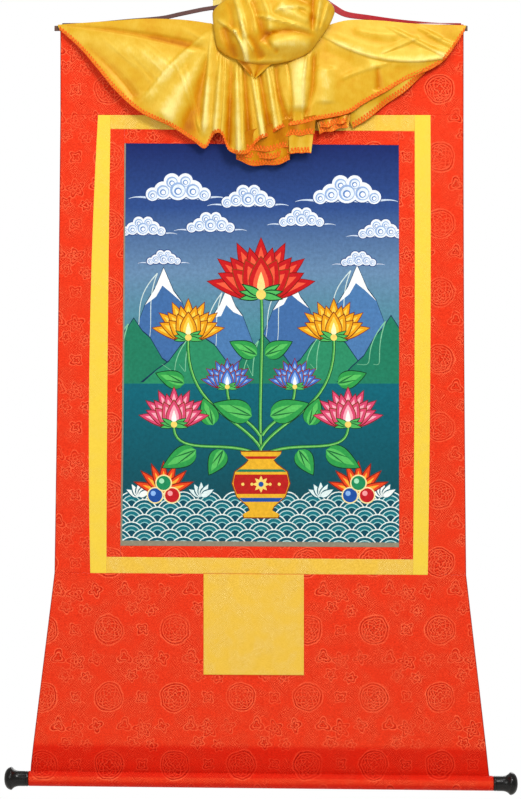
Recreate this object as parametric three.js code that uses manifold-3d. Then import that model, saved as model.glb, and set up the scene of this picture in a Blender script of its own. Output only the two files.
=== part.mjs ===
import * as THREE from 'three';
import { mergeVertices } from 'three/addons/utils/BufferGeometryUtils.js';
import Module from 'manifold-3d';

// A brocade-mounted scroll picture that hangs by a ribbon, its silk cover cloth tied up at the top.
// Millimetres, +Z up, front towards -Y. The origin is the top of the ribbon, where a nail holds it.

const wasm = await Module();
wasm.setup();

// Cloth
const gap = 0.3;
const clothThick = 1.5;
const patchThick = 1.2;
const veilThick = 1.2;

// Roller at the foot, and how far its right end hangs below its left
const rollerZ = -1252;
const rollerTilt = THREE.MathUtils.degToRad(0.6);
const sleeveRadius = 11.3;
const sleeveHalf = 358;
const sleeveRise = 48;
const rodRadius = 9.5;
const spigotRadius = 6;
const spigotLength = 14;
const roundSides = 24;
const edgeSteps = 3;

// Stave in the heading
const staveZ = -93;
const staveHalf = 318;
const staveHeight = 8;
const staveDepth = 4;
const staveEdgeRadius = 1.2;
const staveRoom = 0.4;

// Height of the skirt's cloth that is cut to its outline, from the roller's axis
const skirtCut = 330;

// Square patch under the picture frame
const patchLeft = -88.5;
const patchRight = 66;
const patchHeight = 155;

// The skirt's outer corners, just above the roller
const skirtFoot = { left: -355, right: 351, z: -1233 };

// Upright seams: x at the top seam of the picture frame, half-way down and at its bottom seam
const uprightSeams = {
  outerLeft: { top: -309, middle: -313, bottom: -318 },
  frameLeft: { top: -251, middle: -264, bottom: -263 },
  borderLeft: { top: -231.5, middle: -236, bottom: -238 },
  pictureLeft: { top: -210, middle: -213, bottom: -217 },
  pictureRight: { top: 212, middle: 212.5, bottom: 212.5 },
  borderRight: { top: 236.5, middle: 236.5, bottom: 234 },
  frameRight: { top: 261, middle: 261, bottom: 257 },
  outerRight: { top: 312, middle: 313, bottom: 316 },
};

// Level seams: z where they reach the left and the right outer edge
const edgeX = 310;
const levelSeams = {
  frameTop: { left: -226.5, right: -226.5 },
  borderTop: { left: -247.5, right: -252 },
  pictureTop: { left: -269.5, right: -273.5 },
  pictureBottom: { left: -889, right: -892.5 },
  borderBottom: { left: -906, right: -911.5 },
  frameBottom: { left: -931.5, right: -935 },
};

// Ribbon from one end of the stave to the other: its route, and how far its width turns from
// front-to-back towards the plane of the cloth
const strapWidth = 10;
const strapThick = 1.2;
const strapY = 1;
const strapRoute = [
  { x: -306, z: -86, turn: 0 },
  { x: -262, z: -84.4, turn: 10 },
  { x: -207, z: -80.6, turn: 25 },
  { x: -151, z: -76.5, turn: 38 },
  { x: -125, z: -71, turn: 40 },
  { x: -94, z: -64.5, turn: 40 },
  { x: -60, z: -57.5, turn: 38 },
  { x: -37, z: -43, turn: 30 },
  { x: -18.5, z: -21.5, turn: 15 },
  { x: -6, z: -4, turn: 0 },
  { x: 0, z: 0, turn: 0 },
  { x: 7.5, z: -3.5, turn: 0 },
  { x: 32, z: -18.5, turn: 25 },
  { x: 64.5, z: -34, turn: 60 },
  { x: 97, z: -51, turn: 75 },
  { x: 112, z: -61, turn: 75 },
  { x: 129, z: -70.5, turn: 65 },
  { x: 168, z: -76.5, turn: 50 },
  { x: 214, z: -82, turn: 35 },
  { x: 262, z: -84.5, turn: 12 },
  { x: 308, z: -86, turn: 0 },
];
const strapSteps = 56;

// Cover cloth, from the left corner to the right: its upper edge or gather, its hem, and how far
// each of them stands in front of the mount
const veilStations = [
  { topX: -313, topZ: -88, topOut: 4.8, hemX: -310, hemZ: -95, hemOut: 5.5 },
  { topX: -271, topZ: -85, topOut: 6, hemX: -279, hemZ: -123, hemOut: 10 },
  { topX: -225, topZ: -82, topOut: 7, hemX: -251, hemZ: -156, hemOut: 14 },
  { topX: -179, topZ: -79, topOut: 8, hemX: -222, hemZ: -191, hemOut: 16 },
  { topX: -132, topZ: -80, topOut: 9, hemX: -185, hemZ: -223, hemOut: 16 },
  { topX: -102, topZ: -83, topOut: 11, hemX: -140, hemZ: -244, hemOut: 16 },
  { topX: -86, topZ: -88, topOut: 13, hemX: -106, hemZ: -265, hemOut: 14 },
  { topX: -80, topZ: -94, topOut: 14, hemX: -86, hemZ: -278, hemOut: 13 },
  { topX: -74, topZ: -102, topOut: 15, hemX: -72, hemZ: -257, hemOut: 18 },
  { topX: -66, topZ: -117, topOut: 15, hemX: -60, hemZ: -258, hemOut: 22 },
  { topX: -49, topZ: -126, topOut: 14, hemX: -48, hemZ: -283, hemOut: 24 },
  { topX: -23, topZ: -129, topOut: 14, hemX: -22, hemZ: -287, hemOut: 24 },
  { topX: 2, topZ: -129, topOut: 14, hemX: -5, hemZ: -268, hemOut: 24 },
  { topX: 25, topZ: -129, topOut: 14, hemX: 11, hemZ: -260, hemOut: 24 },
  { topX: 45, topZ: -128, topOut: 14, hemX: 35, hemZ: -246, hemOut: 23 },
  { topX: 62, topZ: -125, topOut: 14, hemX: 62, hemZ: -241, hemOut: 22 },
  { topX: 74, topZ: -117, topOut: 15, hemX: 85, hemZ: -235, hemOut: 21 },
  { topX: 80, topZ: -108, topOut: 15, hemX: 108, hemZ: -231, hemOut: 20 },
  { topX: 86, topZ: -98, topOut: 14, hemX: 136, hemZ: -224, hemOut: 19 },
  { topX: 111, topZ: -87, topOut: 12, hemX: 159, hemZ: -209, hemOut: 17 },
  { topX: 140, topZ: -81, topOut: 10, hemX: 192, hemZ: -191, hemOut: 15 },
  { topX: 183, topZ: -82, topOut: 8, hemX: 225, hemZ: -172, hemOut: 13 },
  { topX: 229, topZ: -86, topOut: 7, hemX: 265, hemZ: -154, hemOut: 11 },
  { topX: 276, topZ: -88, topOut: 6, hemX: 286, hemZ: -137, hemOut: 8 },
  { topX: 316, topZ: -89, topOut: 4.8, hemX: 313, hemZ: -97, hemOut: 5.5 },
];
const veilColumnsPerStation = 3;
const veilRows = 10;
const veilBelly = 5;
const veilFoldsStart = 0.25;

// Folds of the cover cloth: ends, sideways bow, half-widths and heights at both ends.
// A height below nothing is a trough.
const veilFolds = [
  { x0: -290, z0: -90, x1: -108, z1: -122, bow: 4, w0: 5, w1: 9, h0: -1, h1: -6 },
  { x0: -285, z0: -105, x1: -150, z1: -150, bow: 6, w0: 9, w1: 18, h0: 1, h1: 4 },
  { x0: -78, z0: -98, x1: -171, z1: -192, bow: -5, w0: 4, w1: 7, h0: -5, h1: -5 },
  { x0: -86, z0: -130, x1: -143, z1: -225, bow: -2, w0: 6, w1: 16, h0: 2, h1: 7 },
  { x0: -84, z0: -150, x1: -112, z1: -250, bow: 0, w0: 6, w1: 14, h0: -2, h1: -5 },
  { x0: -77, z0: -110, x1: -87, z1: -240, bow: 0, w0: 4, w1: 8, h0: 2, h1: 8 },
  { x0: -62, z0: -142, x1: -70, z1: -246, bow: 0, w0: 4, w1: 6, h0: 2, h1: 6 },
  { x0: -46, z0: -155, x1: -50, z1: -268, bow: 0, w0: 4, w1: 6, h0: -2, h1: -7 },
  { x0: -38, z0: -150, x1: -35, z1: -276, bow: 0, w0: 4, w1: 7, h0: 3, h1: 7 },
  { x0: -26, z0: -155, x1: -18, z1: -276, bow: 0, w0: 4, w1: 7, h0: -3, h1: -7 },
  { x0: -16, z0: -155, x1: 2, z1: -262, bow: 0, w0: 4, w1: 6, h0: 3, h1: 6 },
  { x0: -4, z0: -155, x1: 13, z1: -252, bow: 0, w0: 4, w1: 6, h0: -3, h1: -6 },
  { x0: 8, z0: -150, x1: 23, z1: -249, bow: 0, w0: 4, w1: 6, h0: 3, h1: 5 },
  { x0: 24, z0: -150, x1: 38, z1: -230, bow: -5, w0: 4, w1: 6, h0: -3, h1: -5 },
  { x0: 57, z0: -140, x1: 58, z1: -212, bow: 0, w0: 14, w1: 14, h0: 6, h1: 6 },
  { x0: 81, z0: -140, x1: 68, z1: -225, bow: 4, w0: 4, w1: 6, h0: -4, h1: -4 },
  { x0: 88, z0: -102, x1: 225, z1: -150, bow: -7, w0: 4, w1: 7, h0: -3, h1: -5 },
  { x0: 100, z0: -96, x1: 225, z1: -134, bow: -7, w0: 7, w1: 10, h0: 2, h1: 3 },
  { x0: 205, z0: -97, x1: 280, z1: -136, bow: 0, w0: 4, w1: 4, h0: 2, h1: 3 },
  { x0: 189, z0: -131, x1: 236, z1: -111, bow: 0, w0: 5, w1: 4, h0: 2, h1: 2 },
  { x0: 179, z0: -158, x1: 181, z1: -186, bow: 0, w0: 4, w1: 7, h0: -3, h1: -4 },
  { x0: 98, z0: -160, x1: 100, z1: -205, bow: 0, w0: 12, w1: 12, h0: 4, h1: 4 },
];

// Tucked-up puff of the cover cloth: its sides' x at the foot and at the top, and its levels
const puff = { footLeft: -76, footRight: 82, topLeft: -62, topRight: 112, waistRise: 20 };
const puffLevels = { footEdge: -119, footMiddle: -149, topEdge: -66, topMiddle: -29, backEnd: -78 };
const puffOut = { waist: 16, foot: 28, front: 46, top: 27, back: 8.5 };
const puffCrownPower = 0.55;
const puffColumns = 24;
const puffRows = 16;

// Folds of the puff's front, in the same columns as the cover cloth's
const puffFolds = [
  { x0: -38, z0: -57, x1: -23, z1: -146, bow: 3, w0: 6, w1: 7, h0: 4, h1: 6 },
  { x0: -56, z0: -98, x1: -42, z1: -138, bow: 0, w0: 8, w1: 8, h0: -5, h1: -4 },
  { x0: -12, z0: -60, x1: 5, z1: -112, bow: 0, w0: 7, w1: 8, h0: -3, h1: -5 },
  { x0: 30, z0: -66, x1: 68, z1: -84, bow: 0, w0: 14, w1: 12, h0: 4, h1: 4 },
  { x0: 12, z0: -106, x1: 74, z1: -106, bow: 5, w0: 5, w1: 5, h0: -5, h1: -4 },
  { x0: 20, z0: -123, x1: 70, z1: -121, bow: 3, w0: 9, w1: 9, h0: 5, h1: 5 },
];

// Loose ends of the cover cloth: a pointed one under the puff, and lower layers that show under the
// hem. Each has the ends of its upper edge, which is sunk in the layer above, and of its lower edge.
const looseEnds = [
  {
    upper: { x0: -38, z0: -142, x1: 26, z1: -142, out: 25 },
    lower: { x0: -13, z0: -171, x1: -8, z1: -171, out: 24, sag: 0 },
  },
  {
    upper: { x0: -40, z0: -268, x1: 46, z1: -240, out: 22 },
    lower: { x0: -38, z0: -296, x1: 44, z1: -296, out: 13, sag: 9 },
  },
  {
    upper: { x0: 12, z0: -238, x1: 84, z1: -226, out: 20 },
    lower: { x0: 20, z0: -286, x1: 77, z1: -285, out: 17, sag: 0 },
  },
  {
    upper: { x0: 82, z0: -222, x1: 140, z1: -212, out: 19 },
    lower: { x0: 90, z0: -256, x1: 134, z1: -245, out: 15, sag: 0 },
  },
  {
    upper: { x0: 126, z0: -215, x1: 248, z1: -158, out: 14 },
    lower: { x0: 141, z0: -247, x1: 243, z1: -177, out: 8, sag: 3 },
  },
];
const layerColumns = 8;
const layerRows = 3;
const layerRipple = 1.5;

// Corner of the cover cloth that is folded back over the left leg of the ribbon
const tuck = { left: -75, right: -40, frontZ: -74, crestLeft: -44, crestRight: -30, backZ: -60 };
const tuckOut = { front: 13, back: -9 };
const tuckBackStart = 0.75;
const tuckCrestPower = 1.6;
const tuckColumns = 6;
const tuckRows = 12;

const colours = {
  redBrocade: 0xdf2f16,
  yellowBrocade: 0xeec13f,
  yellowSatin: 0xd9a31d,
  paintedGround: 0x0e4a63,
  blackLacquer: 0x141312,
  brownWood: 0x5f4030,
  redRibbon: 0x7d1420,
};

function finish(colour, roughness, metalness = 0) {
  return new THREE.MeshStandardMaterial({ color: colour, roughness, metalness });
}

const materials = {
  redBrocade: finish(colours.redBrocade, 0.6),
  yellowBrocade: finish(colours.yellowBrocade, 0.6),
  yellowSatin: finish(colours.yellowSatin, 0.4),
  painted: finish(colours.paintedGround, 0.55),
  lacquer: finish(colours.blackLacquer, 0.25),
  wood: finish(colours.brownWood, 0.55),
  ribbon: finish(colours.redRibbon, 0.5),
};

const { clamp, lerp, smoothstep, degToRad } = THREE.MathUtils;

function toSolid(geometry) {
  const plain = geometry.clone();
  plain.deleteAttribute('normal');
  plain.deleteAttribute('uv');
  const merged = mergeVertices(plain, 1e-4);
  const vertProperties = new Float32Array(merged.attributes.position.array);
  const triVerts = new Uint32Array(merged.index.array);
  return new wasm.Manifold(new wasm.Mesh({ numProp: 3, vertProperties, triVerts }));
}

function toGeometry(solid) {
  const mesh = solid.getMesh();
  const geometry = new THREE.BufferGeometry();
  geometry.setAttribute('position', new THREE.BufferAttribute(mesh.vertProperties, 3));
  geometry.setIndex(new THREE.BufferAttribute(mesh.triVerts, 1));
  geometry.computeVertexNormals();
  return geometry;
}

// A closed sheet from two faces, each a function of column and row fractions.
// Seen from the front, columns run to the right and rows run down.
function sheetGeometry(frontFace, backFace, columns, rows) {
  const positions = [];
  const index = [];
  const across = columns + 1;
  const layer = across * (rows + 1);
  for (const face of [frontFace, backFace]) {
    for (let row = 0; row <= rows; row += 1) {
      for (let column = 0; column <= columns; column += 1) {
        positions.push(...face(column / columns, row / rows).toArray());
      }
    }
  }
  const quad = (a, b, c, d) => index.push(a, b, c, a, c, d);
  for (let row = 0; row < rows; row += 1) {
    for (let column = 0; column < columns; column += 1) {
      const a = row * across + column;
      quad(a, a + across, a + across + 1, a + 1);
      quad(layer + a, layer + a + 1, layer + a + across + 1, layer + a + across);
    }
  }
  const rim = [];
  for (let column = 0; column < columns; column += 1) rim.push(column);
  for (let row = 0; row < rows; row += 1) rim.push(row * across + columns);
  for (let column = columns; column > 0; column -= 1) rim.push(rows * across + column);
  for (let row = rows; row > 0; row -= 1) rim.push(row * across);
  rim.forEach((here, place) => {
    const next = rim[(place + 1) % rim.length];
    quad(here, next, layer + next, layer + here);
  });
  const geometry = new THREE.BufferGeometry();
  geometry.setAttribute('position', new THREE.BufferAttribute(new Float32Array(positions), 3));
  geometry.setIndex(index);
  geometry.computeVertexNormals();
  return geometry;
}

// A sheet of even thickness front to back, from its middle surface
function frontSheet(surface, columns, rows, thick) {
  const shifted = (offset) => (u, v) => surface(u, v).add(new THREE.Vector3(0, offset, 0));
  return sheetGeometry(shifted(-thick / 2), shifted(thick / 2), columns, rows);
}

// A sheet of even thickness square to its own middle surface
function curvedSheet(surface, columns, rows, thick) {
  const step = 1e-3;
  const normal = (u, v) => {
    const right = surface(Math.min(u + step, 1), v).sub(surface(Math.max(u - step, 0), v));
    const down = surface(u, Math.min(v + step, 1)).sub(surface(u, Math.max(v - step, 0)));
    return down.cross(right).normalize();
  };
  const shifted = (offset) => (u, v) => surface(u, v).addScaledVector(normal(u, v), offset);
  return sheetGeometry(shifted(thick / 2), shifted(-thick / 2), columns, rows);
}

// Catmull-Rom interpolation of one column of a table at a place from 0 to 1
function alongTable(table, column, place) {
  const span = place * (table.length - 1);
  const start = Math.min(Math.floor(span), table.length - 2);
  const t = span - start;
  const value = (row) => table[clamp(row, 0, table.length - 1)][column];
  const before = value(start - 1);
  const here = value(start);
  const next = value(start + 1);
  const after = value(start + 2);
  const slopeHere = (next - before) / 2;
  const slopeNext = (after - here) / 2;
  const bend = 3 * (next - here) - 2 * slopeHere - slopeNext;
  const twist = 2 * (here - next) + slopeHere + slopeNext;
  return here + t * (slopeHere + t * (bend + t * twist));
}

function uprightX(seam, z) {
  const { top, middle, bottom } = uprightSeams[seam];
  const t = (z - levelSeams.frameTop.left) / (levelSeams.frameBottom.left - levelSeams.frameTop.left);
  return top * (2 * t - 1) * (t - 1) + middle * 4 * t * (1 - t) + bottom * t * (2 * t - 1);
}

function levelZ(seam, x) {
  return lerp(levelSeams[seam].left, levelSeams[seam].right, (x + edgeX) / (2 * edgeX));
}

// A flat piece of the mount between four seams, half a gap inside each
function seamPanel(left, right, top, bottom) {
  const bends = 8;
  const surface = (u, v) => {
    const x = lerp(uprightSeams[left].middle, uprightSeams[right].middle, u);
    const z = lerp(levelZ(top, x) - gap / 2, levelZ(bottom, x) + gap / 2, v);
    return new THREE.Vector3(lerp(uprightX(left, z) + gap / 2, uprightX(right, z) - gap / 2, u), 0, z);
  };
  return frontSheet(surface, 1, bends, clothThick);
}

// Turns an outline of (y, z) into a bar along X, centred
function barAlongX(shape, length, curveSegments) {
  const bar = new THREE.ExtrudeGeometry(shape, { depth: length, bevelEnabled: false, curveSegments });
  bar.translate(0, 0, -length / 2);
  const turn = new THREE.Matrix4().set(0, 0, 1, 0, 1, 0, 0, 0, 0, 1, 0, 0, 0, 0, 0, 1);
  return bar.applyMatrix4(turn);
}

// Turns an outline of (x, z) into a block through the cloth, front to back
function blockThroughCloth(corners) {
  const reach = 40;
  const shape = new THREE.Shape(corners.map(([x, z]) => new THREE.Vector2(x, z)));
  const block = new THREE.ExtrudeGeometry(shape, { depth: 2 * reach, bevelEnabled: false });
  block.translate(0, 0, -reach);
  return block.rotateX(Math.PI / 2);
}

// Section of the skirt: a flat sheet that leans back to the rear of the roller and goes right round it.
// Front is to the left, and z is from the roller's axis.
function skirtSection(topZ) {
  const half = clothThick / 2;
  const inner = sleeveRadius - clothThick;
  const rearAngle = Math.asin((sleeveRadius - half) / sleeveRise);
  const meetAngle = rearAngle + Math.acos(inner / sleeveRadius);
  const shape = new THREE.Shape();
  shape.moveTo(half, topZ);
  shape.lineTo(-half, topZ);
  shape.lineTo(-half, sleeveRise);
  shape.absarc(0, 0, sleeveRadius, meetAngle, 2 * Math.PI + rearAngle, false);
  shape.lineTo(half, sleeveRise);
  const hollow = new THREE.Path();
  hollow.absarc(0, 0, inner, 0, 2 * Math.PI, true);
  shape.holes.push(hollow);
  return shape;
}

function skirtGeometry() {
  const section = barAlongX(skirtSection(skirtCut), 2 * sleeveHalf, roundSides / 2);
  section.rotateY(rollerTilt);
  section.translate(0, 0, rollerZ);
  const { left, right, z } = skirtFoot;
  const below = rollerZ - 4 * sleeveRadius;
  const topLeft = uprightSeams.outerLeft.bottom;
  const topRight = uprightSeams.outerRight.bottom;
  const outline = blockThroughCloth([
    [topLeft, levelZ('frameBottom', topLeft) - gap / 2],
    [left, z],
    [-sleeveHalf - 1, z],
    [-sleeveHalf - 1, below],
    [sleeveHalf + 1, below],
    [sleeveHalf + 1, z],
    [right, z],
    [topRight, levelZ('frameBottom', topRight) - gap / 2],
  ]);
  return toGeometry(toSolid(section).intersect(toSolid(outline)));
}

function roundedBox(halfWide, halfHigh, radius) {
  const shape = new THREE.Shape();
  shape.absarc(halfWide - radius, halfHigh - radius, radius, 0, Math.PI / 2, false);
  shape.absarc(radius - halfWide, halfHigh - radius, radius, Math.PI / 2, Math.PI, false);
  shape.absarc(radius - halfWide, radius - halfHigh, radius, Math.PI, 1.5 * Math.PI, false);
  shape.absarc(halfWide - radius, radius - halfHigh, radius, 1.5 * Math.PI, 2 * Math.PI, false);
  shape.closePath();
  return shape;
}

function headingGeometry() {
  const halfWide = staveDepth / 2 + staveRoom;
  const halfHigh = staveHeight / 2 + staveRoom;
  const length = uprightSeams.outerRight.top - uprightSeams.outerLeft.top;
  const middle = (uprightSeams.outerRight.top + uprightSeams.outerLeft.top) / 2;
  const outer = roundedBox(halfWide + clothThick, halfHigh + clothThick, staveEdgeRadius + clothThick);
  outer.holes.push(roundedBox(halfWide, halfHigh, staveEdgeRadius));
  const sleeve = barAlongX(outer, length, edgeSteps).translate(middle, 0, staveZ);
  const sheetTop = staveZ - halfHigh - clothThick / 2;
  const sheetFoot = levelSeams.frameTop.left + gap / 2;
  const sheet = new THREE.BoxGeometry(length, clothThick, sheetTop - sheetFoot);
  sheet.translate(middle, 0, (sheetTop + sheetFoot) / 2);
  return toGeometry(toSolid(sleeve).add(toSolid(sheet)));
}

function staveGeometry() {
  const shape = roundedBox(staveDepth / 2, staveHeight / 2, staveEdgeRadius);
  return barAlongX(shape, 2 * staveHalf, edgeSteps).translate(0, 0, staveZ);
}

function patchGeometry() {
  const y = -(clothThick / 2 + gap + patchThick / 2);
  const surface = (u, v) => {
    const x = lerp(patchLeft, patchRight, u);
    const top = levelZ('frameBottom', x) - gap;
    return new THREE.Vector3(x, y, lerp(top, top - patchHeight, v));
  };
  return frontSheet(surface, 1, 1, patchThick);
}

// Dowel with a spigot at each end, along X
function rodGeometry() {
  const shoulder = sleeveHalf;
  const tip = shoulder + spigotLength - gap;
  const profile = [[0, -tip], [spigotRadius, -tip], [spigotRadius, -shoulder], [rodRadius, -shoulder],
    [rodRadius, shoulder], [spigotRadius, shoulder], [spigotRadius, tip], [0, tip]];
  const points = profile.map(([radius, along]) => new THREE.Vector2(radius, along));
  return new THREE.LatheGeometry(points, roundSides).rotateZ(-Math.PI / 2);
}

// Turned knob with a blind socket for the spigot; its length runs along +Y until it is laid down
function knobGeometry() {
  const neck = 11.6;
  const flange = 17.6;
  const length = 34.5;
  const socket = spigotRadius + gap;
  const flareStart = 13;
  const flareEnd = 19;
  const crown = 12.5;
  const edge = 2.5;
  const profile = new THREE.Path();
  profile.moveTo(0, spigotLength);
  profile.lineTo(socket, spigotLength);
  profile.lineTo(socket, 0);
  profile.lineTo(neck - 1, 0);
  profile.lineTo(neck, 1);
  profile.lineTo(neck, flareStart);
  profile.quadraticCurveTo(neck + 1, flareEnd - 1, flange - edge, flareEnd);
  profile.quadraticCurveTo(flange, flareEnd, flange, flareEnd + edge);
  profile.lineTo(flange, length - 2 * edge);
  profile.quadraticCurveTo(flange, length - edge / 2, crown, length - edge / 3);
  profile.lineTo(0, length);
  return new THREE.LatheGeometry(profile.getPoints(4), roundSides);
}

function knobMesh(name, side) {
  const geometry = knobGeometry().rotateZ(-side * Math.PI / 2);
  return namedMesh(name, geometry.translate(side * (sleeveHalf + gap), 0, 0), materials.lacquer);
}

// Flat ribbon on its route, its width turned about the route
function strapGeometry() {
  const points = strapRoute.map(({ x, z }) => new THREE.Vector3(x, strapY, z));
  const route = new THREE.CatmullRomCurve3(points, false, 'centripetal');
  const surface = (u, v) => {
    const here = route.getPoint(u);
    const ahead = route.getTangent(u);
    const turn = degToRad(alongTable(strapRoute, 'turn', u));
    const up = new THREE.Vector3(-ahead.z, 0, ahead.x);
    const across = up.multiplyScalar(-Math.sin(turn)).add(new THREE.Vector3(0, -Math.cos(turn), 0));
    return here.addScaledVector(across, (v - 0.5) * strapWidth);
  };
  return curvedSheet(surface, strapSteps, 1, strapThick);
}

// Height of all the folds of a table at one place, each a soft ridge or trough that fades at its ends
function foldHeight(folds, x, z) {
  const fadeLength = 0.18;
  return folds.reduce((sum, fold) => {
    const { x0, z0, x1, z1, bow, w0, w1, h0, h1 } = fold;
    const length = Math.hypot(x1 - x0, z1 - z0);
    const alongX = (x1 - x0) / length;
    const alongZ = (z1 - z0) / length;
    const s = ((x - x0) * alongX + (z - z0) * alongZ) / length;
    const inside = clamp(s, 0, 1);
    const sideways = (x - x0) * -alongZ + (z - z0) * alongX - bow * 4 * inside * (1 - inside);
    const fade = smoothstep(s, -fadeLength, 0) * (1 - smoothstep(s, 1, 1 + fadeLength));
    const across = sideways / lerp(w0, w1, inside);
    return sum + fade * lerp(h0, h1, inside) * Math.exp(-across * across);
  }, 0);
}

// The cover cloth's wings and pleated fan, with folds that die out at its upper edge
function veilSurface(u, v) {
  const at = (column) => alongTable(veilStations, column, u);
  const x = lerp(at('topX'), at('hemX'), v);
  const z = lerp(at('topZ'), at('hemZ'), v);
  const belly = veilBelly * Math.sin(Math.PI * v) * Math.sin(Math.PI * u);
  const folds = foldHeight(veilFolds, x, z) * smoothstep(v, 0, veilFoldsStart);
  const out = lerp(at('topOut'), at('hemOut'), v) + belly + folds;
  return new THREE.Vector3(x, -Math.max(out, at('topOut')), z);
}

// The puff: from the waist behind it, round its foot, up its front and over its top to the back
function puffSurface(u, v) {
  const crown = Math.sin(Math.PI * u) ** puffCrownPower;
  const foot = lerp(puffLevels.footEdge, puffLevels.footMiddle, crown);
  const top = lerp(puffLevels.topEdge, puffLevels.topMiddle, crown);
  const stations = [
    { level: foot + puff.waistRise, out: puffOut.waist, wide: 0 },
    { level: foot + 3, out: puffOut.waist + 3, wide: 0 },
    { level: foot, out: lerp(puffOut.waist + 4, puffOut.foot, crown), wide: 0 },
    { level: lerp(foot, top, 0.2), out: lerp(puffOut.waist + 5, puffOut.front - 4, crown), wide: 0.1 },
    { level: lerp(foot, top, 0.55), out: lerp(puffOut.waist + 4, puffOut.front, crown), wide: 0.4 },
    { level: lerp(foot, top, 0.88), out: lerp(puffOut.waist, puffOut.front - 7, crown), wide: 0.85 },
    { level: top, out: lerp(puffOut.waist - 2, puffOut.top, crown), wide: 1 },
    { level: top - 6, out: lerp(puffOut.back + 2, puffOut.top - 12, crown), wide: 1 },
    { level: lerp(top, puffLevels.backEnd, 0.6), out: puffOut.back, wide: 0.9 },
    { level: Math.min(puffLevels.backEnd, top - 12), out: puffOut.back, wide: 0.8 },
  ];
  const wide = alongTable(stations, 'wide', v);
  const left = lerp(puff.footLeft, puff.topLeft, wide);
  const right = lerp(puff.footRight, puff.topRight, wide);
  const x = lerp(left, right, u);
  const z = alongTable(stations, 'level', v);
  const onFront = smoothstep(v, 0.12, 0.3) * (1 - smoothstep(v, 0.55, 0.72));
  const out = alongTable(stations, 'out', v) + foldHeight(puffFolds, x, z) * onFront * crown;
  return new THREE.Vector3(x, -out, z);
}

function layerSurface({ upper, lower }) {
  return (u, v) => {
    const ripple = layerRipple * Math.sin(4 * Math.PI * u) * v;
    const sag = lower.sag * Math.sin(Math.PI * u);
    const above = new THREE.Vector3(lerp(upper.x0, upper.x1, u), -upper.out, lerp(upper.z0, upper.z1, u));
    const lowZ = lerp(lower.z0, lower.z1, u) - sag;
    const below = new THREE.Vector3(lerp(lower.x0, lower.x1, u), -lower.out, lowZ);
    return above.lerp(below, v).add(new THREE.Vector3(0, ripple, 0));
  };
}

function tuckSurface(u, v) {
  const x = lerp(tuck.left, tuck.right, u);
  const crest = lerp(tuck.crestLeft, tuck.crestRight, u);
  const y = -lerp(tuckOut.front, tuckOut.back, smoothstep(v, 0, tuckBackStart));
  const end = v < 0.5 ? tuck.frontZ : tuck.backZ;
  const drop = Math.abs(2 * v - 1) ** tuckCrestPower;
  return new THREE.Vector3(x, y, lerp(crest, end, drop));
}

function veilGeometry() {
  const columns = (veilStations.length - 1) * veilColumnsPerStation;
  const wings = frontSheet(veilSurface, columns, veilRows, veilThick);
  const layerSheet = (layer) => frontSheet(layerSurface(layer), layerColumns, layerRows, veilThick);
  const puffSheet = curvedSheet(puffSurface, puffColumns, puffRows, veilThick);
  const tuckSheet = curvedSheet(tuckSurface, tuckColumns, tuckRows, veilThick);
  const sheets = [puffSheet, tuckSheet, ...looseEnds.map(layerSheet)];
  return toGeometry(sheets.reduce((solid, sheet) => solid.add(toSolid(sheet)), toSolid(wings)));
}

function namedMesh(name, geometry, material) {
  const mesh = new THREE.Mesh(geometry, material);
  mesh.name = name;
  return mesh;
}

const mount = new THREE.Group();
// Each flat piece: its left, right, top and bottom seams, and its cloth
const seamPanels = {
  side_left: ['outerLeft', 'frameLeft', 'frameTop', 'frameBottom', 'redBrocade'],
  side_right: ['frameRight', 'outerRight', 'frameTop', 'frameBottom', 'redBrocade'],
  frame_left: ['frameLeft', 'borderLeft', 'frameTop', 'frameBottom', 'yellowBrocade'],
  frame_right: ['borderRight', 'frameRight', 'frameTop', 'frameBottom', 'yellowBrocade'],
  frame_top: ['borderLeft', 'borderRight', 'frameTop', 'borderTop', 'yellowBrocade'],
  frame_bottom: ['borderLeft', 'borderRight', 'borderBottom', 'frameBottom', 'yellowBrocade'],
  border_left: ['borderLeft', 'pictureLeft', 'borderTop', 'borderBottom', 'redBrocade'],
  border_right: ['pictureRight', 'borderRight', 'borderTop', 'borderBottom', 'redBrocade'],
  border_top: ['pictureLeft', 'pictureRight', 'borderTop', 'pictureTop', 'redBrocade'],
  border_bottom: ['pictureLeft', 'pictureRight', 'pictureBottom', 'borderBottom', 'redBrocade'],
  picture: ['pictureLeft', 'pictureRight', 'pictureTop', 'pictureBottom', 'painted'],
};
for (const [name, [left, right, top, bottom, cloth]] of Object.entries(seamPanels)) {
  mount.add(namedMesh(name, seamPanel(left, right, top, bottom), materials[cloth]));
}
mount.add(namedMesh('heading', headingGeometry(), materials.redBrocade));
mount.add(namedMesh('skirt', skirtGeometry(), materials.redBrocade));
mount.add(namedMesh('door_patch', patchGeometry(), materials.yellowBrocade));
mount.add(namedMesh('top_stave', staveGeometry(), materials.wood));

const roller = new THREE.Group();
roller.position.z = rollerZ;
roller.rotation.y = rollerTilt;
roller.add(namedMesh('roller_rod', rodGeometry(), materials.wood));
roller.add(knobMesh('knob_left', -1));
roller.add(knobMesh('knob_right', 1));

const scroll = new THREE.Group();
scroll.add(mount, roller);
scroll.add(namedMesh('hanging_strap', strapGeometry(), materials.ribbon));
scroll.add(namedMesh('veil', veilGeometry(), materials.yellowSatin));

export default scroll;
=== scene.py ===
import math

import bpy
import numpy as np
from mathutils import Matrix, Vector
from mathutils.geometry import delaunay_2d_cdt


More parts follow.
